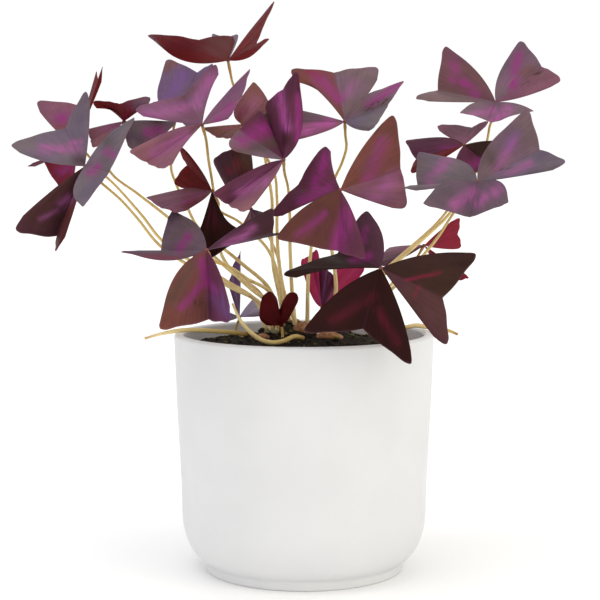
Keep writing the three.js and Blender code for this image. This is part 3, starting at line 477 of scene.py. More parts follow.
def leaf_material():
    """place is across (-1 to 1 over the leaflet), reach (0 at the hub to 1 at the edge) and a seed.
    tint and streak are colours, with the streak's strength as its alpha. blot marks old damage."""
    nodes = Nodes("shamrock_leaf")
    across, reach, seed = nodes.place()

    def radial(fine, long, detail):
        """Noise drawn out along the lines that run from the hub."""
        wide = nodes.times(across, fine)
        deep = nodes.times(reach, long)
        vector = nodes.add("ShaderNodeCombineXYZ", {0: wide, 1: deep, 2: seed})[0]
        return nodes.noised(1.0, detail, vector=vector)

    mottle = nodes.noised(48, 4, 0.6)
    vein = radial(34, 2.4, 2)
    shade = nodes.times(nodes.varied(mottle, 0.84, 1.16), nodes.varied(vein, 0.93, 1.07))
    colour = nodes.shaded(nodes.attribute("tint", "Color"), shade)
    drift = nodes.noised(34, 3)
    warmth = nodes.mixed(nodes.ranged(drift, 0.38, 0.62), COOL_DRIFT, WARM_DRIFT)
    colour = nodes.mixed(1.0, colour, warmth, "MULTIPLY")
    frayed = nodes.ranged(radial(9, 3.2, 4), 0.32, 0.68, 0.3, 1.2, "LINEAR")
    glow = nodes.times(nodes.attribute("streak", "Alpha"), frayed, True)
    colour = nodes.mixed(glow, colour, nodes.attribute("streak", "Color"))
    side = nodes.add("ShaderNodeMath", {0: across}, operation="ABSOLUTE")[0]
    # Darker along the midrib: partly its own colour, partly painted shade in the crease of the fold.
    midrib = nodes.ranged(side, 0.0, 0.03, 0.22, 0.0)
    colour = nodes.mixed(midrib, colour, MIDRIB_AND_CREASE_SHADE)
    # A thin lighter rim at the edge: partly the leaflet's own margin, partly a painted edge highlight.
    colour = nodes.mixed(nodes.ranged(reach, 0.975, 1.0, 0.0, 0.1), colour, MARGIN_AND_EDGE_HIGHLIGHT)
    scratch = nodes.ranged(nodes.noised(420, 3, 0.6), 0.42, 0.6)
    blot = nodes.times(nodes.attribute("blot", "Fac"), scratch, True)
    colour = nodes.mixed(blot, colour, DEAD)
    normal = nodes.bumped(vein, 0.0004, 0.3)
    normal = nodes.bumped(nodes.noised(FINE_GRAIN), 0.0001, 0.3, normal)
    return nodes.finish(colour, Roughness=nodes.varied(mottle, 0.48, 0.62), Normal=normal,
                        Specular_IOR_Level=0.07, Sheen_Weight=0.01, Sheen_Roughness=0.5, Sheen_Tint=BLOOM)


def stalk_material():
    """place is along (0 at the crown to 1 at the leaf), round, and a tone from 0 to 1."""
    nodes = Nodes("shamrock_stalk")
    along, _, tone = nodes.place()
    ramp = nodes.add("ShaderNodeValToRGB", {0: along})[0]
    elements = ramp.node.color_ramp.elements
    while len(elements) < len(STALK_STOPS):
        elements.new(0.5)
    for stop, (at, code) in zip(elements, STALK_STOPS):
        stop.position = at
        stop.color = paint(code)
    mottle = nodes.ranged(nodes.noised(130, 3, 0.6), 0.45, 0.75)
    amber = nodes.times(mottle, nodes.ranged(tone, 0.0, 1.0, 0.1, 0.6))
    colour = nodes.mixed(amber, ramp, paint("#b07a3c"))
    grain = nodes.noised(700)
    colour = nodes.shaded(colour, nodes.varied(grain, 0.94, 1.04))
    return nodes.finish(colour, Normal=nodes.bumped(grain, 0.0001, 0.3), Roughness=0.42,
                        Specular_IOR_Level=0.4)


def pot_material():
    nodes = Nodes("pot_ceramic")
    mottle = nodes.noised(28, 4, 0.55)
    speck = nodes.noised(FINE_GRAIN)
    colour = nodes.mixed(nodes.ranged(mottle, 0.35, 0.65), paint("#dadadb"), paint("#d7d7d8"))
    colour = nodes.mixed(nodes.ranged(speck, 0.68, 0.78, 0.0, 0.25), colour, paint("#d2cec4"))
    normal = nodes.bumped(speck, 0.00006, 0.4, nodes.bumped(mottle, 0.0004, 0.25))
    return nodes.finish(colour, Roughness=nodes.varied(mottle, 0.4, 0.5), Normal=normal,
                        Specular_IOR_Level=0.4)


def soil_material():
    nodes = Nodes("potting_soil")
    clod = nodes.noised(240, 6, 0.7)
    fleck = nodes.ranged(nodes.noised(620), 0.66, 0.72, 0.0, 0.7)
    colour = nodes.mixed(nodes.ranged(clod, 0.35, 0.7), paint("#110d0a"), paint("#31261d"))
    colour = nodes.mixed(fleck, colour, paint("#6f6a45"))
    return nodes.finish(colour, Normal=nodes.bumped(clod, 0.0015, 0.9), Roughness=0.92,
                        Specular_IOR_Level=0.2)


def crumb_material():
    """tint is each crumb's own colour."""
    nodes = Nodes("soil_crumbs")
    grain = nodes.noised(FINE_GRAIN, 3, 0.6)
    colour = nodes.shaded(nodes.attribute("tint", "Color"), nodes.varied(grain, 0.6, 1.3))
    return nodes.finish(colour, Normal=nodes.bumped(grain, 0.0004, 0.6), Roughness=0.9,
                        Specular_IOR_Level=0.2)


def rhizome_material():
    """place is along, round, and how far up its scale a point lies."""
    nodes = Nodes("rhizome_scales")
    _, _, rise = nodes.place()
    mottle = nodes.noised(300, 4, 0.6)
    colour = nodes.mixed(nodes.varied(mottle), paint("#b47c50"), paint("#7c4e30"))
    colour = nodes.mixed(nodes.ranged(rise, 0.55, 1.0, 0.0, 0.5), colour, paint("#c4a283"))
    return nodes.finish(colour, Normal=nodes.bumped(mottle, 0.0004, 0.6), Roughness=0.65)


def floor_material():
    nodes = Nodes("floor_white")
    return nodes.finish(nodes.mixed(nodes.noised(3), *FLOOR_SHADES), Roughness=0.7)


# Meshes

CURVE_STEPS = 400
# Each attribute's kind, and the field of its values.
ATTRIBUTES = {
    "place": ("FLOAT_VECTOR", "vector"),
    "tint": ("FLOAT_COLOR", "color"),
    "streak": ("FLOAT_COLOR", "color"),
    "blot": ("FLOAT", "value"),
}


def placed(name, data):
    """An object of its data, in the scene."""
    made = bpy.data.objects.new(name, data)
    bpy.context.scene.collection.objects.link(made)
    return made


def make_piece(name, points, faces, material, nodes, slot, sharp=(), **attributes):
    """A smooth mesh piece that rides on the root and stands for its nodes. points are in mm."""
    mesh = bpy.data.meshes.new(name)
    mesh.from_pydata([tuple(p * MM) for p in points], [], faces)
    mesh.materials.append(material)
    for key, values in attributes.items():
        kind, field = ATTRIBUTES[key]
        made = mesh.attributes.new(key, kind, "POINT")
        made.data.foreach_set(field, [v for value in values for v in value])
    mesh.shade_smooth()
    if sharp:
        marks = mesh.attributes.new("sharp_edge", "BOOLEAN", "EDGE")
        for edge in mesh.edges:
            if tuple(sorted(edge.vertices)) in sharp:
                marks.data[edge.index].value = True
    mesh.validate()
    piece = placed(name, mesh)
    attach(piece, "root")
    if nodes:
        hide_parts(*nodes)


def catmull_rom(path, share):
    """Point on the centripetal curve through the path, as the frame's curves are."""
    last = len(path) - 1
    at = last * share
    i = min(int(at), last - 1)
    w = at - i
    p1, p2 = path[i], path[i + 1]
    p0 = path[i - 1] if i > 0 else p1 * 2 - p2
    p3 = path[i + 2] if i + 2 <= last else p2 * 2 - p1
    d1 = max((p2 - p1).length ** 0.5, 1e-4)
    d0 = (p1 - p0).length ** 0.5 or d1
    d2 = (p3 - p2).length ** 0.5 or d1
    t1 = ((p1 - p0) / d0 - (p2 - p0) / (d0 + d1) + (p2 - p1) / d1) * d1
    t2 = ((p2 - p1) / d1 - (p3 - p1) / (d1 + d2) + (p3 - p2) / d2) * d1
    c2 = (p2 - p1) * 3 - t1 * 2 - t2
    c3 = (p1 - p2) * 2 + t1 + t2
    return p1 + t1 * w + c2 * w * w + c3 * w ** 3


def spaced_along(path, steps):
    """Evenly spaced points along the curve through the path."""
    fine = [catmull_rom(path, i / CURVE_STEPS) for i in range(CURVE_STEPS + 1)]
    lengths = [0.0]
    for a, b in zip(fine, fine[1:]):
        lengths.append(lengths[-1] + (b - a).length)
    spaced, k = [], 0
    for i in range(steps + 1):
        goal = lengths[-1] * i / steps
        while k < len(fine) - 2 and lengths[k + 1] < goal:
            k += 1
        part = (goal - lengths[k]) / max(1e-9, lengths[k + 1] - lengths[k])
        spaced.append(fine[k].lerp(fine[k + 1], part))
    return spaced


def ring(centre, side, other, radius, count):
    """Points round a centre, from one direction to the other."""
    angles = [2 * pi * k / count for k in range(count)]
    return [centre + (side * cos(a) + other * sin(a)) * radius for a in angles]


def ring_faces(first, bands, count):
    """Faces of the bands between rings that follow each other."""
    faces = []
    for start in range(first, first + bands * count, count):
        for k in range(count):
            a, b = start + k, start + (k + 1) % count
            faces.append((a, b, b + count, a + count))
    return faces


def tube(spaced, radii, sides, tone=0.5):
    """Points, faces and places of a closed round bar."""
    steps = len(spaced) - 1
    points, places = [], []
    side = Vector((1, 0, 0))
    for i, (centre, radius) in enumerate(zip(spaced, radii)):
        tangent = (spaced[min(steps, i + 1)] - spaced[max(0, i - 1)]).normalized()
        side = (side - tangent * side.dot(tangent)).normalized()
        points += ring(centre, side, tangent.cross(side), radius, sides)
        places += [(i / steps, k / sides, tone) for k in range(sides)]
    ends = [tuple(reversed(range(sides))), tuple(range(steps * sides, len(points)))]
    return points, ring_faces(0, steps, sides) + ends, places


# The leaf blades

EDGE_STEPS = 24
REACH_STEPS = 30
# A leaflet starts just off the hub, and its rows crowd towards its edge.
FIRST_REACH = 0.02
ROW_CROWDING = 0.85
HALF_THICK = 0.19
EDGE_THICK = 0.1
EDGE_THINNING = 6
# Slight ripples, and a rounded crest along the fold.
RIPPLE = 0.4
RIPPLES_ACROSS = 6
RIPPLES_OUT = 2
FOLD_LIFT = 0.5
FOLD_ROUND = 0.07
MIDRIB_BLEND = 0.02
SEEDS = 50
# The knob where the leaflets meet.
KNOB = 1.0
KNOB_RINGS = 8
KNOB_SIDES = 12
KNOB_FLAT = 0.8


def edge_place(share):
    """Shares of hub-to-notch and hub-to-lobe at a place along the half leaflet's edge."""
    path = [Vector((x, y, 0)) for x, y in HALF_EDGE]
    place = catmull_rom(path, share)
    return place.x, place.y


EDGE = [(i / EDGE_STEPS, edge_place(i / EDGE_STEPS)) for i in range(EDGE_STEPS + 1)]


def half_point(hub, notch, lobe, reach, share, place, lift, swell, bend):
    """Point of a half leaflet: reach from hub to edge and share from midrib to side."""
    along, out = place
    side = 4 * reach * (1 - reach) * share * share
    point = hub + (notch - hub) * (reach * along - swell * side)
    point += (lobe - hub) * (reach * out + 0.5 * swell * side)
    arch = ARCH * 4 * share * (1 - share) * reach
    wave = WAVE * sin(share * WAVE_TURN + hub.x) * reach * reach * share
    spot = Vector((share * RIPPLES_ACROSS, reach * RIPPLES_OUT, hub.z + lobe.x))
    ripple = RIPPLE * reach * noise.noise(spot)
    return point + lift * (arch + wave + ripple + bend * side)


def leaflet_sheet(hub, left, notch, right, sides=(SIDE_SWELL, SIDE_SWELL)):
    """Middle surface of a leaflet as rows of (point, across, reach), from hub to edge."""
    left_swell, right_swell, left_bend, right_bend = (*sides, 0, 0)[:4]
    lift_right = (right - hub).cross(notch - hub).normalized()
    lift_left = (notch - hub).cross(left - hub).normalized()
    ridge = (lift_left + lift_right).normalized()
    halves = [(-1, EDGE[:0:-1], right, lift_right, right_swell, right_bend),
              (1, EDGE, left, lift_left, left_swell, left_bend)]
    rows = []
    for i in range(REACH_STEPS + 1):
        reach = FIRST_REACH + (1 - FIRST_REACH) * (i / REACH_STEPS) ** ROW_CROWDING
        row = []
        for way, edge, lobe, lift, swell, bend in halves:
            for share, place in edge:
                crest = exp(-(share / FOLD_ROUND) ** 2) * FOLD_LIFT * reach
                point = half_point(hub, notch, lobe, reach, share, place, lift, swell, bend)
                row.append((point + ridge * crest, way * share, reach))
        rows.append(row)
    return rows


def smooth(value, low, high):
    """0 below low, 1 above high and smooth between."""
    share = min(1, max(0, (value - low) / (high - low)))
    return share * share * (3 - 2 * share)


def blend(a, b, share):
    return [x + (y - x) * share for x, y in zip(a, b)]


def stroke_share(stroke, place):
    """How much of a stroke shows at a pixel place, most along its middle. No place shows none."""
    if place is None:
        return 0.0
    _, across, down, to_across, to_down, wide, strength = stroke
    off, way = place - Vector((across, down)), Vector((to_across - across, to_down - down))
    along = min(1, max(0, off.dot(way) / way.length_squared))
    return strength * exp(-((off - way * along).length / (STROKE_SOFT * wide)) ** 2)


class Dress:
    """Colours over one leaflet, from the looks of its halves and its strokes. A point's place is
    its pixel in the front view, or None where the surface turns away."""

    def __init__(self, pair, chance, strokes=()):
        self.looks = [LOOKS[name] for name in pair]
        self.shades = [stroke for stroke in strokes if stroke[0] in SHADES]
        self.glows = [stroke for stroke in strokes if stroke[0] in GLOWS]
        self.scars = [stroke for stroke in strokes if stroke[0] == SCAR]
        self.bands = [[chance.uniform(*limits) for limits in BANDS] for _ in pair]

    # A leaflet's two halves can have different looks: partly their own colours, partly painted light and
    # shade on the two sides of the fold.
    def tint(self, across, top, place):
        codes = [look[0] if top else look[3] for look in self.looks]
        colour = blend(linear(codes[1]), linear(codes[0]), smooth(across, -MIDRIB_BLEND, MIDRIB_BLEND))
        for stroke in self.shades:
            colour = blend(colour, linear(SHADES[stroke[0]]), stroke_share(stroke, place))
        return (*colour, 1)

    def scar(self, place):
        return max([stroke_share(stroke, place) for stroke in self.scars], default=0.0)

    def streak(self, across, reach, top, place):
        side = 0 if across > 0 else 1
        _, code, strength, _ = self.looks[side]
        if self.glows and place is not None:
            shares = [stroke_share(stroke, place) for stroke in self.glows]
            total = sum(shares)
            if total < STROKE_LEAST:
                return (*linear(code), 0.0)
            paints = [linear(GLOWS[stroke[0]]) for stroke in self.glows]
            colour = [sum(share * glow[k] for share, glow in zip(shares, paints)) / total for k in range(3)]
            return (*colour, max(shares))
        start, end, wide, stop, level = self.bands[side]
        off = abs(abs(across) - (start + (end - start) * reach)) / wide
        along = (1 - smooth(reach, stop - BAND_FADE, stop)) * smooth(reach, 0.0, BAND_START)
        shape = (1 - smooth(off, *BAND_EDGES)) * along
        return (*linear(code), strength * level * shape if top else 0.0)


class Blade:
    """Collects the closed sheets and the knob of one leaf."""

    def __init__(self):
        # A vertex is a point with its place, tint, streak and blot.
        self.vertices, self.faces, self.sharp = [], [], set()

    def add_sheet(self, rows, dress, seed):
        wide = len(rows[0])
        base = len(self.vertices)
        quads = [((i, j), (i + 1, j), (i + 1, j + 1), (i, j + 1))
                 for i in range(len(rows) - 1) for j in range(wide - 1)]
        normals = [[Vector() for _ in row] for row in rows]
        for quad in quads:
            a, b, c, d = (rows[i][j][0] for i, j in quad)
            for i, j in quad:
                normals[i][j] += (c - a).cross(d - b)
        count = len(rows) * wide
        for way in (1, -1):
            for row, ups in zip(rows, normals):
                for (point, across, reach), up in zip(row, ups):
                    rim = max(reach, abs(across)) ** EDGE_THINNING
                    thick = HALF_THICK + (EDGE_THICK - HALF_THICK) * rim
                    top = way > 0
                    place = shown(point) if (EYE - point).dot(up) * way > 0 else None
                    tint, streak = dress.tint(across, top, place), dress.streak(across, reach, top, place)
                    self.vertices.append((point + up.normalized() * thick * way, (across, reach, seed),
                                          tint, streak, (dress.scar(place),)))

        def at(i, j):
            return base + i * wide + j

        for quad in quads:
            face = tuple(at(i, j) for i, j in quad)
            self.faces += [face, tuple(v + count for v in reversed(face))]
        last = len(rows) - 1
        rim = [at(i, 0) for i in range(last)] + [at(last, j) for j in range(wide - 1)]
        rim += [at(i, wide - 1) for i in range(last, 0, -1)] + [at(0, j) for j in range(wide - 1, 0, -1)]
        for a, b in zip(rim, rim[1:] + rim[:1]):
            self.faces.append((b, a, a + count, b + count))
            self.sharp |= {tuple(sorted((a + low, b + low))) for low in (0, count)}

    def add_knob(self, centre, code, up):
        """A small smooth dome where the leaflets meet."""
        first = len(self.vertices)
        side = up.orthogonal().normalized()
        for i in range(KNOB_RINGS + 1):
            tilt = pi * i / KNOB_RINGS
            middle = centre - up * cos(tilt) * KNOB_FLAT * KNOB
            for point in ring(middle, side, up.cross(side), KNOB * sin(tilt), KNOB_SIDES):
                self.vertices.append((point, (0.5, 0.5, 0.0), paint(code), (0, 0, 0, 0), (0.0,)))
        self.faces += ring_faces(first, KNOB_RINGS, KNOB_SIDES)

    def make(self, name, node, slot):
        points, places, tints, streaks, blots = zip(*self.vertices)
        make_piece(name, points, self.faces, LEAF, [node], slot, self.sharp,
                   place=places, tint=tints, streak=streaks, blot=blots)


def seen_at_length(place, hub, length):
    """Point on a place's sight line at its depth from the hub, or at a distance from the hub."""
    across, down, side = place
    if not isinstance(side, str):
        return seen(across, down, hub.y + side)
    line = sight_line(across, down).normalized()
    along = (hub - EYE).dot(line)
    missed = (hub - EYE).length_squared - along * along
    half = sqrt(max(0, length * length - missed))
    return EYE + line * (along + (half if side == AWAY else -half))


def notch_point(place, hub, left, right, fold):
    """Point on a place's sight line at its depth from the hub, or so far under the lobes' plane."""
    if len(place) == 3:
        return seen(place[0], place[1], hub.y + place[2])
    line = sight_line(*place)
    upper = (right - hub).cross(left - hub).normalized()
    return EYE + line * ((upper.dot(hub - EYE) - fold) / upper.dot(line))


def leaf_points(leaf):
    """The hub, the leaflets' lobes, notches and sides, and the leaf's upward direction."""
    hub = seen(*leaf.hub)
    length = LOBE * leaf.size
    leaflets, upper = [], Vector()
    for left_place, notch_place, right_place, *sides in leaf.leaflets:
        left = seen_at_length(left_place, hub, length)
        right = seen_at_length(right_place, hub, length)
        notch = notch_point(notch_place, hub, left, right, FOLD * leaf.size)
        leaflets.append((left, notch, right, *sides))
        upper += (right - hub).cross(left - hub).normalized()
    return hub, leaflets, upper.normalized()


# The stalks

STALK_FOOT = 1.15
STALK_TOP = 0.65
STALK_TAPER = 1.3
STALK_FLARE = 0.25
FLARE_PLACE = 0.985
FLARE_REACH = 0.012
STALK_SUNK = 9
HUB_DROP = 8
HUB_GAP = 0.5
HUB_TURN = 0.5
FOOT_LEAN = 0.5
CROWN_ROW = 325
LEAST_REACH = 0.1
STALK_SIDES = 12
STALK_STEPS = 48


def stalk_path(leaf, hub, upper):
    """From below the soil through the leaf's stalk places to its hub."""
    foot = ground(*leaf.foot)
    middle = []
    for place in leaf.stalk:
        share = max(LEAST_REACH, (CROWN_ROW - place[1]) / (CROWN_ROW - leaf.hub[1]))
        depth = place[2] if len(place) == 3 else foot.y + (hub.y - foot.y) * share
        middle.append(seen(place[0], place[1], depth))
    steps = [foot, *middle, hub]
    rise = (steps[1] - foot).normalized() * FOOT_LEAN
    rise.z += 1 - FOOT_LEAN
    sunk = foot - rise.normalized() * STALK_SUNK
    approach = (hub - steps[-2]).normalized().lerp(upper, HUB_TURN).normalized()
    return [sunk, foot, *middle, hub - approach * HUB_DROP, hub - approach * HUB_GAP]


def stalk_radius(share):
    taper = STALK_FOOT + (STALK_TOP - STALK_FOOT) * min(1, share * STALK_TAPER)
    return taper + STALK_FLARE * exp(-((share - FLARE_PLACE) / FLARE_REACH) ** 2)


def make_stalk(name, path, radius_at, node, tone, steps=STALK_STEPS):
    spaced = spaced_along(path, steps)
    radii = [radius_at(i / steps) for i in range(steps + 1)]
    points, faces, places = tube(spaced, radii, STALK_SIDES, tone)
    make_piece(name, points, faces, STALK, [node], "stalk", place=places)


LEAF = leaf_material()
STALK = stalk_material()


def make_leaves():
    """Each leaf's blade and stalk."""
    chance = random.Random(5)
    for letter, leaf in LEAVES.items():
        hub, leaflets, upper = leaf_points(leaf)
        blade = Blade()
        for index, (shape, names) in enumerate(zip(leaflets, leaf.looks.split(", ")), 1):
            pair = (names.split() * 2)[:2]
            rows = leaflet_sheet(hub, *shape)
            strokes = STROKES.get(letter, []) + STROKES.get(f"{letter}{index}", [])
            blade.add_sheet(rows, Dress(pair, chance, strokes), chance.uniform(0, SEEDS))
        blade.add_knob(hub, HUB_COLOUR, upper)
        blade.make(f"shamrock_blade_{letter}", f"leaf_{letter}_blade", "leaf_blade")
        path = stalk_path(leaf, hub, upper)
        make_stalk(f"shamrock_stalk_{letter}", path, stalk_radius, f"leaf_{letter}_stalk", chance.random())


make_leaves()


# The young leaf

YOUNG_FIRST_REACH = 0.05
YOUNG_SEED = 3.0
YOUNG_TONE = 0.9
YOUNG_STALK_STEPS = 12


def make_young_leaf():
    """Two round lobes that are still folded together, on a short stalk."""
    hub = seen(*YOUNG_HUB)
    corners = [seen(across, down, hub.y + depth) for across, down, depth in reversed(YOUNG_EDGE)]
    steps = 2 * EDGE_STEPS
    edge = [catmull_rom(corners, i / steps) for i in range(steps + 1)]
    rows = []
    for i in range(REACH_STEPS + 1):
        reach = YOUNG_FIRST_REACH + (1 - YOUNG_FIRST_REACH) * i / REACH_STEPS
        cup = Vector((0, -YOUNG_CUP * 4 * reach * (1 - reach), 0))
        row = [(hub.lerp(point, reach) + cup, 2 * k / steps - 1, reach) for k, point in enumerate(edge)]
        rows.append(row)
    blade = Blade()
    blade.add_sheet(rows, Dress(("young", "young"), random.Random(2)), YOUNG_SEED)
    blade.add_knob(hub, YOUNG_COLOUR, Vector((0, 0, 1)))
    blade.make("young_leaf", "young_leaf_blade", "young_blade")
    foot = ground(*YOUNG_FOOT)
    path = [foot - Vector((0, 0, STALK_SUNK)), foot, hub]
    make_stalk("young_stalk", path, lambda share: STALK_TOP, "young_leaf_stalk", YOUNG_TONE,
               YOUNG_STALK_STEPS)


make_young_leaf()


# The old bare stalks

BARE_TAPER = 0.4
BARE_TONE = 0.2


def make_bare_stalks():
    for side, (places, start, end) in BARE_STALKS.items():

        def radius_at(share):
            thin = start + (1 - start) * smooth(share, 0, BARE_TAPER)
            thin += (end - 1) * smooth(share, 1 - BARE_TAPER, 1)
            return BARE_RADIUS * thin

        path = [seen(*place) for place in places]
        make_stalk(f"bare_stalk_{side}_skin", path, radius_at, f"bare_stalk_{side}", BARE_TONE)


make_bare_stalks()


# The rhizomes: scales in rows round a lumpy body

RHIZOME_STEPS = 60
RHIZOME_SIDES = 24
RHIZOME_BOW = 0.2
RHIZOME_SUNK = 0.25
RHIZOME_END = 0.04
SCALE_ROWS = 4
SCALES_ROUND = 5
SCALE_TURN = 2.4
SCALE_POINT = 0.35
SCALE_JUMBLE = 0.35
SCALE_RELIEF = 0.07
SCALE_FALL = 0.7
LUMP = 0.12
LUMP_SIZE = 0.4


def make_rhizome(index, start, end, radius, rise):
    path = []
    for share in (0, 0.5, 1):
        x = start[0] + (end[0] - start[0]) * share
        y = start[1] + (end[1] - start[1]) * share
        bow = radius * (RHIZOME_BOW * sin(pi * share) - RHIZOME_SUNK)
        path.append(ground(x, y, rise + bow))
    spaced = spaced_along(path, RHIZOME_STEPS)
    points, faces, places = tube(spaced, [1] * len(spaced), RHIZOME_SIDES)
    scaled, marks = [], []
    for point, (along, turn, _) in zip(points, places):
        centre = spaced[round(along * RHIZOME_STEPS)]
        body = sqrt(sin(pi * (RHIZOME_END + (1 - 2 * RHIZOME_END) * along)))
        row = int(along * SCALE_ROWS)
        tip = 0.5 + 0.5 * cos(2 * pi * turn * SCALES_ROUND + SCALE_TURN * row)
        climb = (along * SCALE_ROWS + SCALE_POINT * tip + noise.noise(point * SCALE_JUMBLE)) % 1
        lump = LUMP * noise.noise(point * LUMP_SIZE + Vector((index, 0, 0)))
        wide = radius * body * (1 - SCALE_RELIEF * (1 - climb) ** SCALE_FALL - LUMP + lump)
        scaled.append(centre + (point - centre) * wide)
        marks.append((along, turn, climb))
    node = f"rhizome_{index}"
    make_piece(f"{node}_skin", scaled, faces, RHIZOME, [node], "rhizome", place=marks)


RHIZOME = rhizome_material()
for number, rhizome in enumerate(RHIZOMES, 1):
    make_rhizome(number, *rhizome)


# The pot

POT_SEGMENTS = 160


def arc(centre, across, up, start, end, steps):
    """Points on an ellipse, as radius and height, from a start to an end angle in degrees."""
    angles = [radians(start + (end - start) * i / steps) for i in range(steps + 1)]
    return [(centre[0] + across * cos(a), centre[1] + up * sin(a)) for a in angles]


def bead(radius, height, size, start, end, steps):
    """Points on a round edge, by its centre and size."""
    return arc((radius, height), size, size, start, end, steps)


def shoulder(inset, start, end, steps):
    """Points on the shoulder or inside it, by angle in degrees from straight down."""
    across, down = SHOULDER_ACROSS - inset, SHOULDER_DOWN - inset
    return arc((SHOULDER_CENTRE, SHOULDER_TOP), across, down, start - 90, end - 90, steps)


def lathe(profile, segments):
    """Points and faces of a turned body whose profile starts and ends on the axis."""
    points = [Vector((0, 0, profile[0][1]))]
    for radius, height in profile[1:-1]:
        points += ring(Vector((0, 0, height)), Vector((1, 0, 0)), Vector((0, 1, 0)), radius, segments)
    points.append(Vector((0, 0, profile[-1][1])))
    faces = ring_faces(1, len(profile) - 3, segments)
    top = len(points) - 1
    low = top - segments
    for k in range(segments):
        after = (k + 1) % segments
        faces += [(0, 1 + after, 1 + k), (top, low + k, low + after)]
    return points, faces


def make_pot():
    """The hollow under the foot, the foot, the shoulder, the wall, the lip and the inside."""
    start = degrees(asin((FOOT_RADIUS + SHOULDER_START - SHOULDER_CENTRE) / SHOULDER_ACROSS))
    wall = RIM_RADIUS - POT_WALL
    hollow = FOOT_RADIUS - FOOT_RING
    profile = [(0, FOOT_HOLLOW), (hollow - 1, FOOT_HOLLOW), (hollow, 0.0)]
    profile += bead(FOOT_RADIUS - FOOT_ROUND, FOOT_ROUND, FOOT_ROUND, -90, 0, 5)
    profile += [(FOOT_RADIUS + 0.2, FOOT_HEIGHT * 0.6), (FOOT_RADIUS + 0.8, FOOT_HEIGHT - 0.9)]
    profile += shoulder(0, start, 90, 20)
    profile += [(SHOULDER_CENTRE + SHOULDER_ACROSS + 0.35, WALL_LOW), (RIM_RADIUS - 1.2, WALL_TOP)]
    profile += bead(RIM_RADIUS - LIP_ROUND, POT_HEIGHT - LIP_ROUND, LIP_ROUND, 0, 90, 7)
    profile += bead(wall + LIP_ROUND, POT_HEIGHT - LIP_ROUND, LIP_ROUND, 90, 180, 7)
    profile += shoulder(POT_WALL, 90, 0, 14)
    profile.append((0, SHOULDER_TOP - SHOULDER_DOWN + POT_WALL))
    points, faces = lathe(profile, POT_SEGMENTS)
    make_piece("pot_skin", points, faces, pot_material(), ["pot"], "ceramic")


make_pot()


# The soil

SOIL_SEGMENTS = 150
SOIL_RINGS = 48
SOIL_GAP = 0.1
# Layers of lumps: height in mm, waves a mm, level, and the noise's own three numbers.
SOIL_LUMPS = [(0.9, 0.11, 0, 0.7, 2.1, 5), (0.35, 0.5, 9, 0.8, 2.0, 3)]


def soil_top(x, y):
    """Height of the lumpy soil."""
    top = soil_height(x, y)
    for height, scale, level, *kind in SOIL_LUMPS:
        top += height * noise.fractal(Vector((x, y, level)) * scale, *kind)
    return top


def wall_radius(height):
    """Inner radius of the pot's wall."""
    low = SHOULDER_CENTRE + SHOULDER_ACROSS - POT_WALL
    share = (height - SHOULDER_TOP) / (POT_HEIGHT - LIP_ROUND - SHOULDER_TOP)
    return low + (RIM_RADIUS - POT_WALL - low) * share


def make_soil():
    edge = wall_radius(SOIL_EDGE) - SOIL_GAP
    below = [(max(0.0, r - SOIL_GAP), h + 2 * SOIL_GAP) for r, h in shoulder(POT_WALL, 0, 90, 8)]
    top = [(edge * (1 - i / SOIL_RINGS), SOIL_EDGE) for i in range(SOIL_RINGS)]
    points, faces = lathe([(0, below[0][1]), *below, *top, (0, SOIL_EDGE)], SOIL_SEGMENTS)
    for point in points:
        if point.z > SOIL_EDGE - 0.5:
            point.z = soil_top(point.x, point.y)
    make_piece("soil_skin", points, faces, soil_material(), ["soil"], "soil")


make_soil()


# Crumbs on the soil: how many, out to which radius, their least size and how much larger they get

CRUMBS = 900
CRUMB_REACH = 57
CRUMB_SIZE = 0.35
CRUMB_SPREAD = 1.0
CRUMB_RARITY = 2.2
CRUMB_LIFT = 0.2
CRUMB_FLAT = 0.7
CRUMB_STRETCH = (0.8, 1.7)
CRUMB_JAG = (0.75, 1.2)
CRUMB_TINTS = ["#1c1510", "#2a2018", "#3a2c20", "#4a3a28", "#241b14", "#6a6038"]
CRUMB_SHAPE = [Vector(v).normalized() for v in (
    (0, 0, 1), (0.9, 0, 0.4), (0.3, 0.85, 0.4), (-0.7, 0.5, 0.4), (-0.7, -0.5, 0.4), (0.3, -0.85, 0.4),
    (0.7, 0.5, -0.4), (-0.3, 0.85, -0.4), (-0.9, 0, -0.4), (-0.3, -0.85, -0.4), (0.7, -0.5, -0.4), (0, 0, -1),
)]
CRUMB_FACES = []
for i in range(1, 6):
    after = i % 5 + 1
    CRUMB_FACES += [(0, i, after), (11, after + 5, i + 5), (i, i + 5, after), (after, i + 5, after + 5)]
# Larger bits round the crown: pixel place, size in mm and colour.
PEBBLE_LIFT = 0.5
PEBBLES = [
    (262, 331, 1.6, "#3a3226"), (268, 333.5, 2.1, "#7c7a5c"), (274.5, 333.5, 2.2, "#8f8a68"),
    (280.5, 333, 1.4, "#2c241c"), (285, 334, 1.3, "#4a3c2c"), (336, 338, 1.4, "#a39a48"),
    (341, 338.5, 1.1, "#8f8a40"), (318, 335, 1.1, "#cfc4a8"), (289.5, 321.5, 1.9, "#d8c4a0"),
    (295, 323, 2.2, "#c08f5c"), (301, 325.5, 1.9, "#a8703f"), (232, 337, 1.4, "#4c3a2a"),
    (352, 336.5, 1.3, "#565036"),
]
# Depths at which a sight line is tried against the soil.
NEAREST = -60
DEPTH_STEP = 0.5
DEPTH_STEPS = 240


def on_soil(across, down):
    """The first place where a pixel's sight line meets the soil."""
    for step in range(DEPTH_STEPS):
        point = seen(across, down, NEAREST + DEPTH_STEP * step)
        if point.z <= soil_top(point.x, point.y):
            return point
    return seen(across, down, 0)


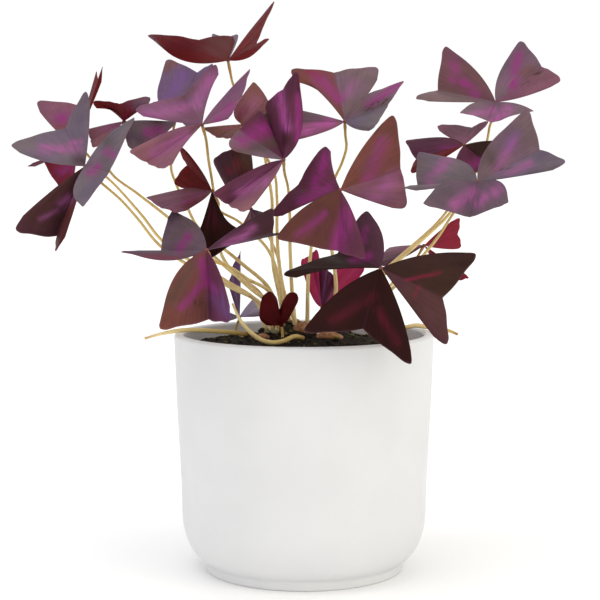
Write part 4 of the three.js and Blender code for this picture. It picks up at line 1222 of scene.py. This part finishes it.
def make_crumbs():
    """Loose crumbs of bark and peat that lie on the soil, and larger bits round the crown."""
    chance = random.Random(21)
    bits = []
    for _ in range(CRUMBS):
        radius = CRUMB_REACH * sqrt(chance.random())
        angle = chance.uniform(0, 2 * pi)
        x, y = radius * cos(angle), radius * sin(angle)
        size = CRUMB_SIZE + CRUMB_SPREAD * chance.random() ** CRUMB_RARITY
        centre = Vector((x, y, soil_top(x, y) + CRUMB_LIFT * size))
        bits.append((centre, size, chance.choice(CRUMB_TINTS)))
    for across, down, size, code in PEBBLES:
        bits.append((on_soil(across, down) + Vector((0, 0, PEBBLE_LIFT * size)), size, code))
    points, faces, tints = [], [], []
    for centre, size, code in bits:
        turn = chance.uniform(0, 2 * pi)
        stretch = chance.uniform(*CRUMB_STRETCH)
        base = len(points)
        for corner in CRUMB_SHAPE:
            jag = size * chance.uniform(*CRUMB_JAG)
            a, b = corner.x * stretch * jag, corner.y * jag
            x = a * cos(turn) - b * sin(turn)
            y = a * sin(turn) + b * cos(turn)
            points.append(centre + Vector((x, y, corner.z * CRUMB_FLAT * jag)))
            tints.append(paint(code))
        faces += [tuple(base + v for v in face) for face in CRUMB_FACES]
    make_piece("soil_crumbs", points, faces, crumb_material(), (), "soil", tint=tints)


make_crumbs()


# Floor, lights and camera. Each sun has a turn round the plant from the front, a tilt from straight
# down, a power, a colour and how wide it spreads.

FLOOR_REACH = 12
SKY_STRENGTH = 1.02
SUNS = [
    ("key", -35, 18, 0.5, (0.97, 0.98, 1.0), 25),
    ("fill", 60, 62, 0.5, (1.0, 0.92, 0.6), 40),
    ("low", 0, 84, 0.12, (1.0, 1.0, 1.0), 60),
]
SENSOR_WIDTH = 36
CLIP_END = 100


def make_floor():
    mesh = bpy.data.meshes.new("floor")
    corners = [(x * FLOOR_REACH, y * FLOOR_REACH, 0) for x, y in ((-1, -1), (1, -1), (1, 1), (-1, 1))]
    mesh.from_pydata(corners, [], [(0, 1, 2, 3)])
    mesh.materials.append(floor_material())
    placed("floor", mesh)


def make_sun(name, turn, tilt, power, colour, spread):
    """A wide soft sun lamp."""
    lamp = bpy.data.lights.new(name, "SUN")
    lamp.energy = power
    lamp.color = colour
    lamp.angle = radians(spread)
    placed(name, lamp).rotation_euler = (radians(tilt), 0, radians(turn))


def make_world():
    """A plain white studio all round."""
    world = bpy.data.worlds.new("studio")
    world.use_nodes = True
    sky = next(n for n in world.node_tree.nodes if n.type == "BACKGROUND")
    sky.inputs["Color"].default_value = (1, 1, 1, 1)
    sky.inputs["Strength"].default_value = SKY_STRENGTH
    bpy.context.scene.world = world


def make_camera():
    lens = bpy.data.cameras.new("camera")
    lens.sensor_width = SENSOR_WIDTH
    lens.lens = FOCAL / PICTURE * SENSOR_WIDTH
    lens.clip_end = CLIP_END
    camera = placed("camera", lens)
    camera.location = EYE * MM
    camera.rotation_euler = (pi / 2 - PITCH, 0, 0)
    bpy.context.scene.camera = camera


make_floor()
make_world()
for sun in SUNS:
    make_sun(*sun)
make_camera()
bpy.context.scene.view_settings.view_transform = "Standard"
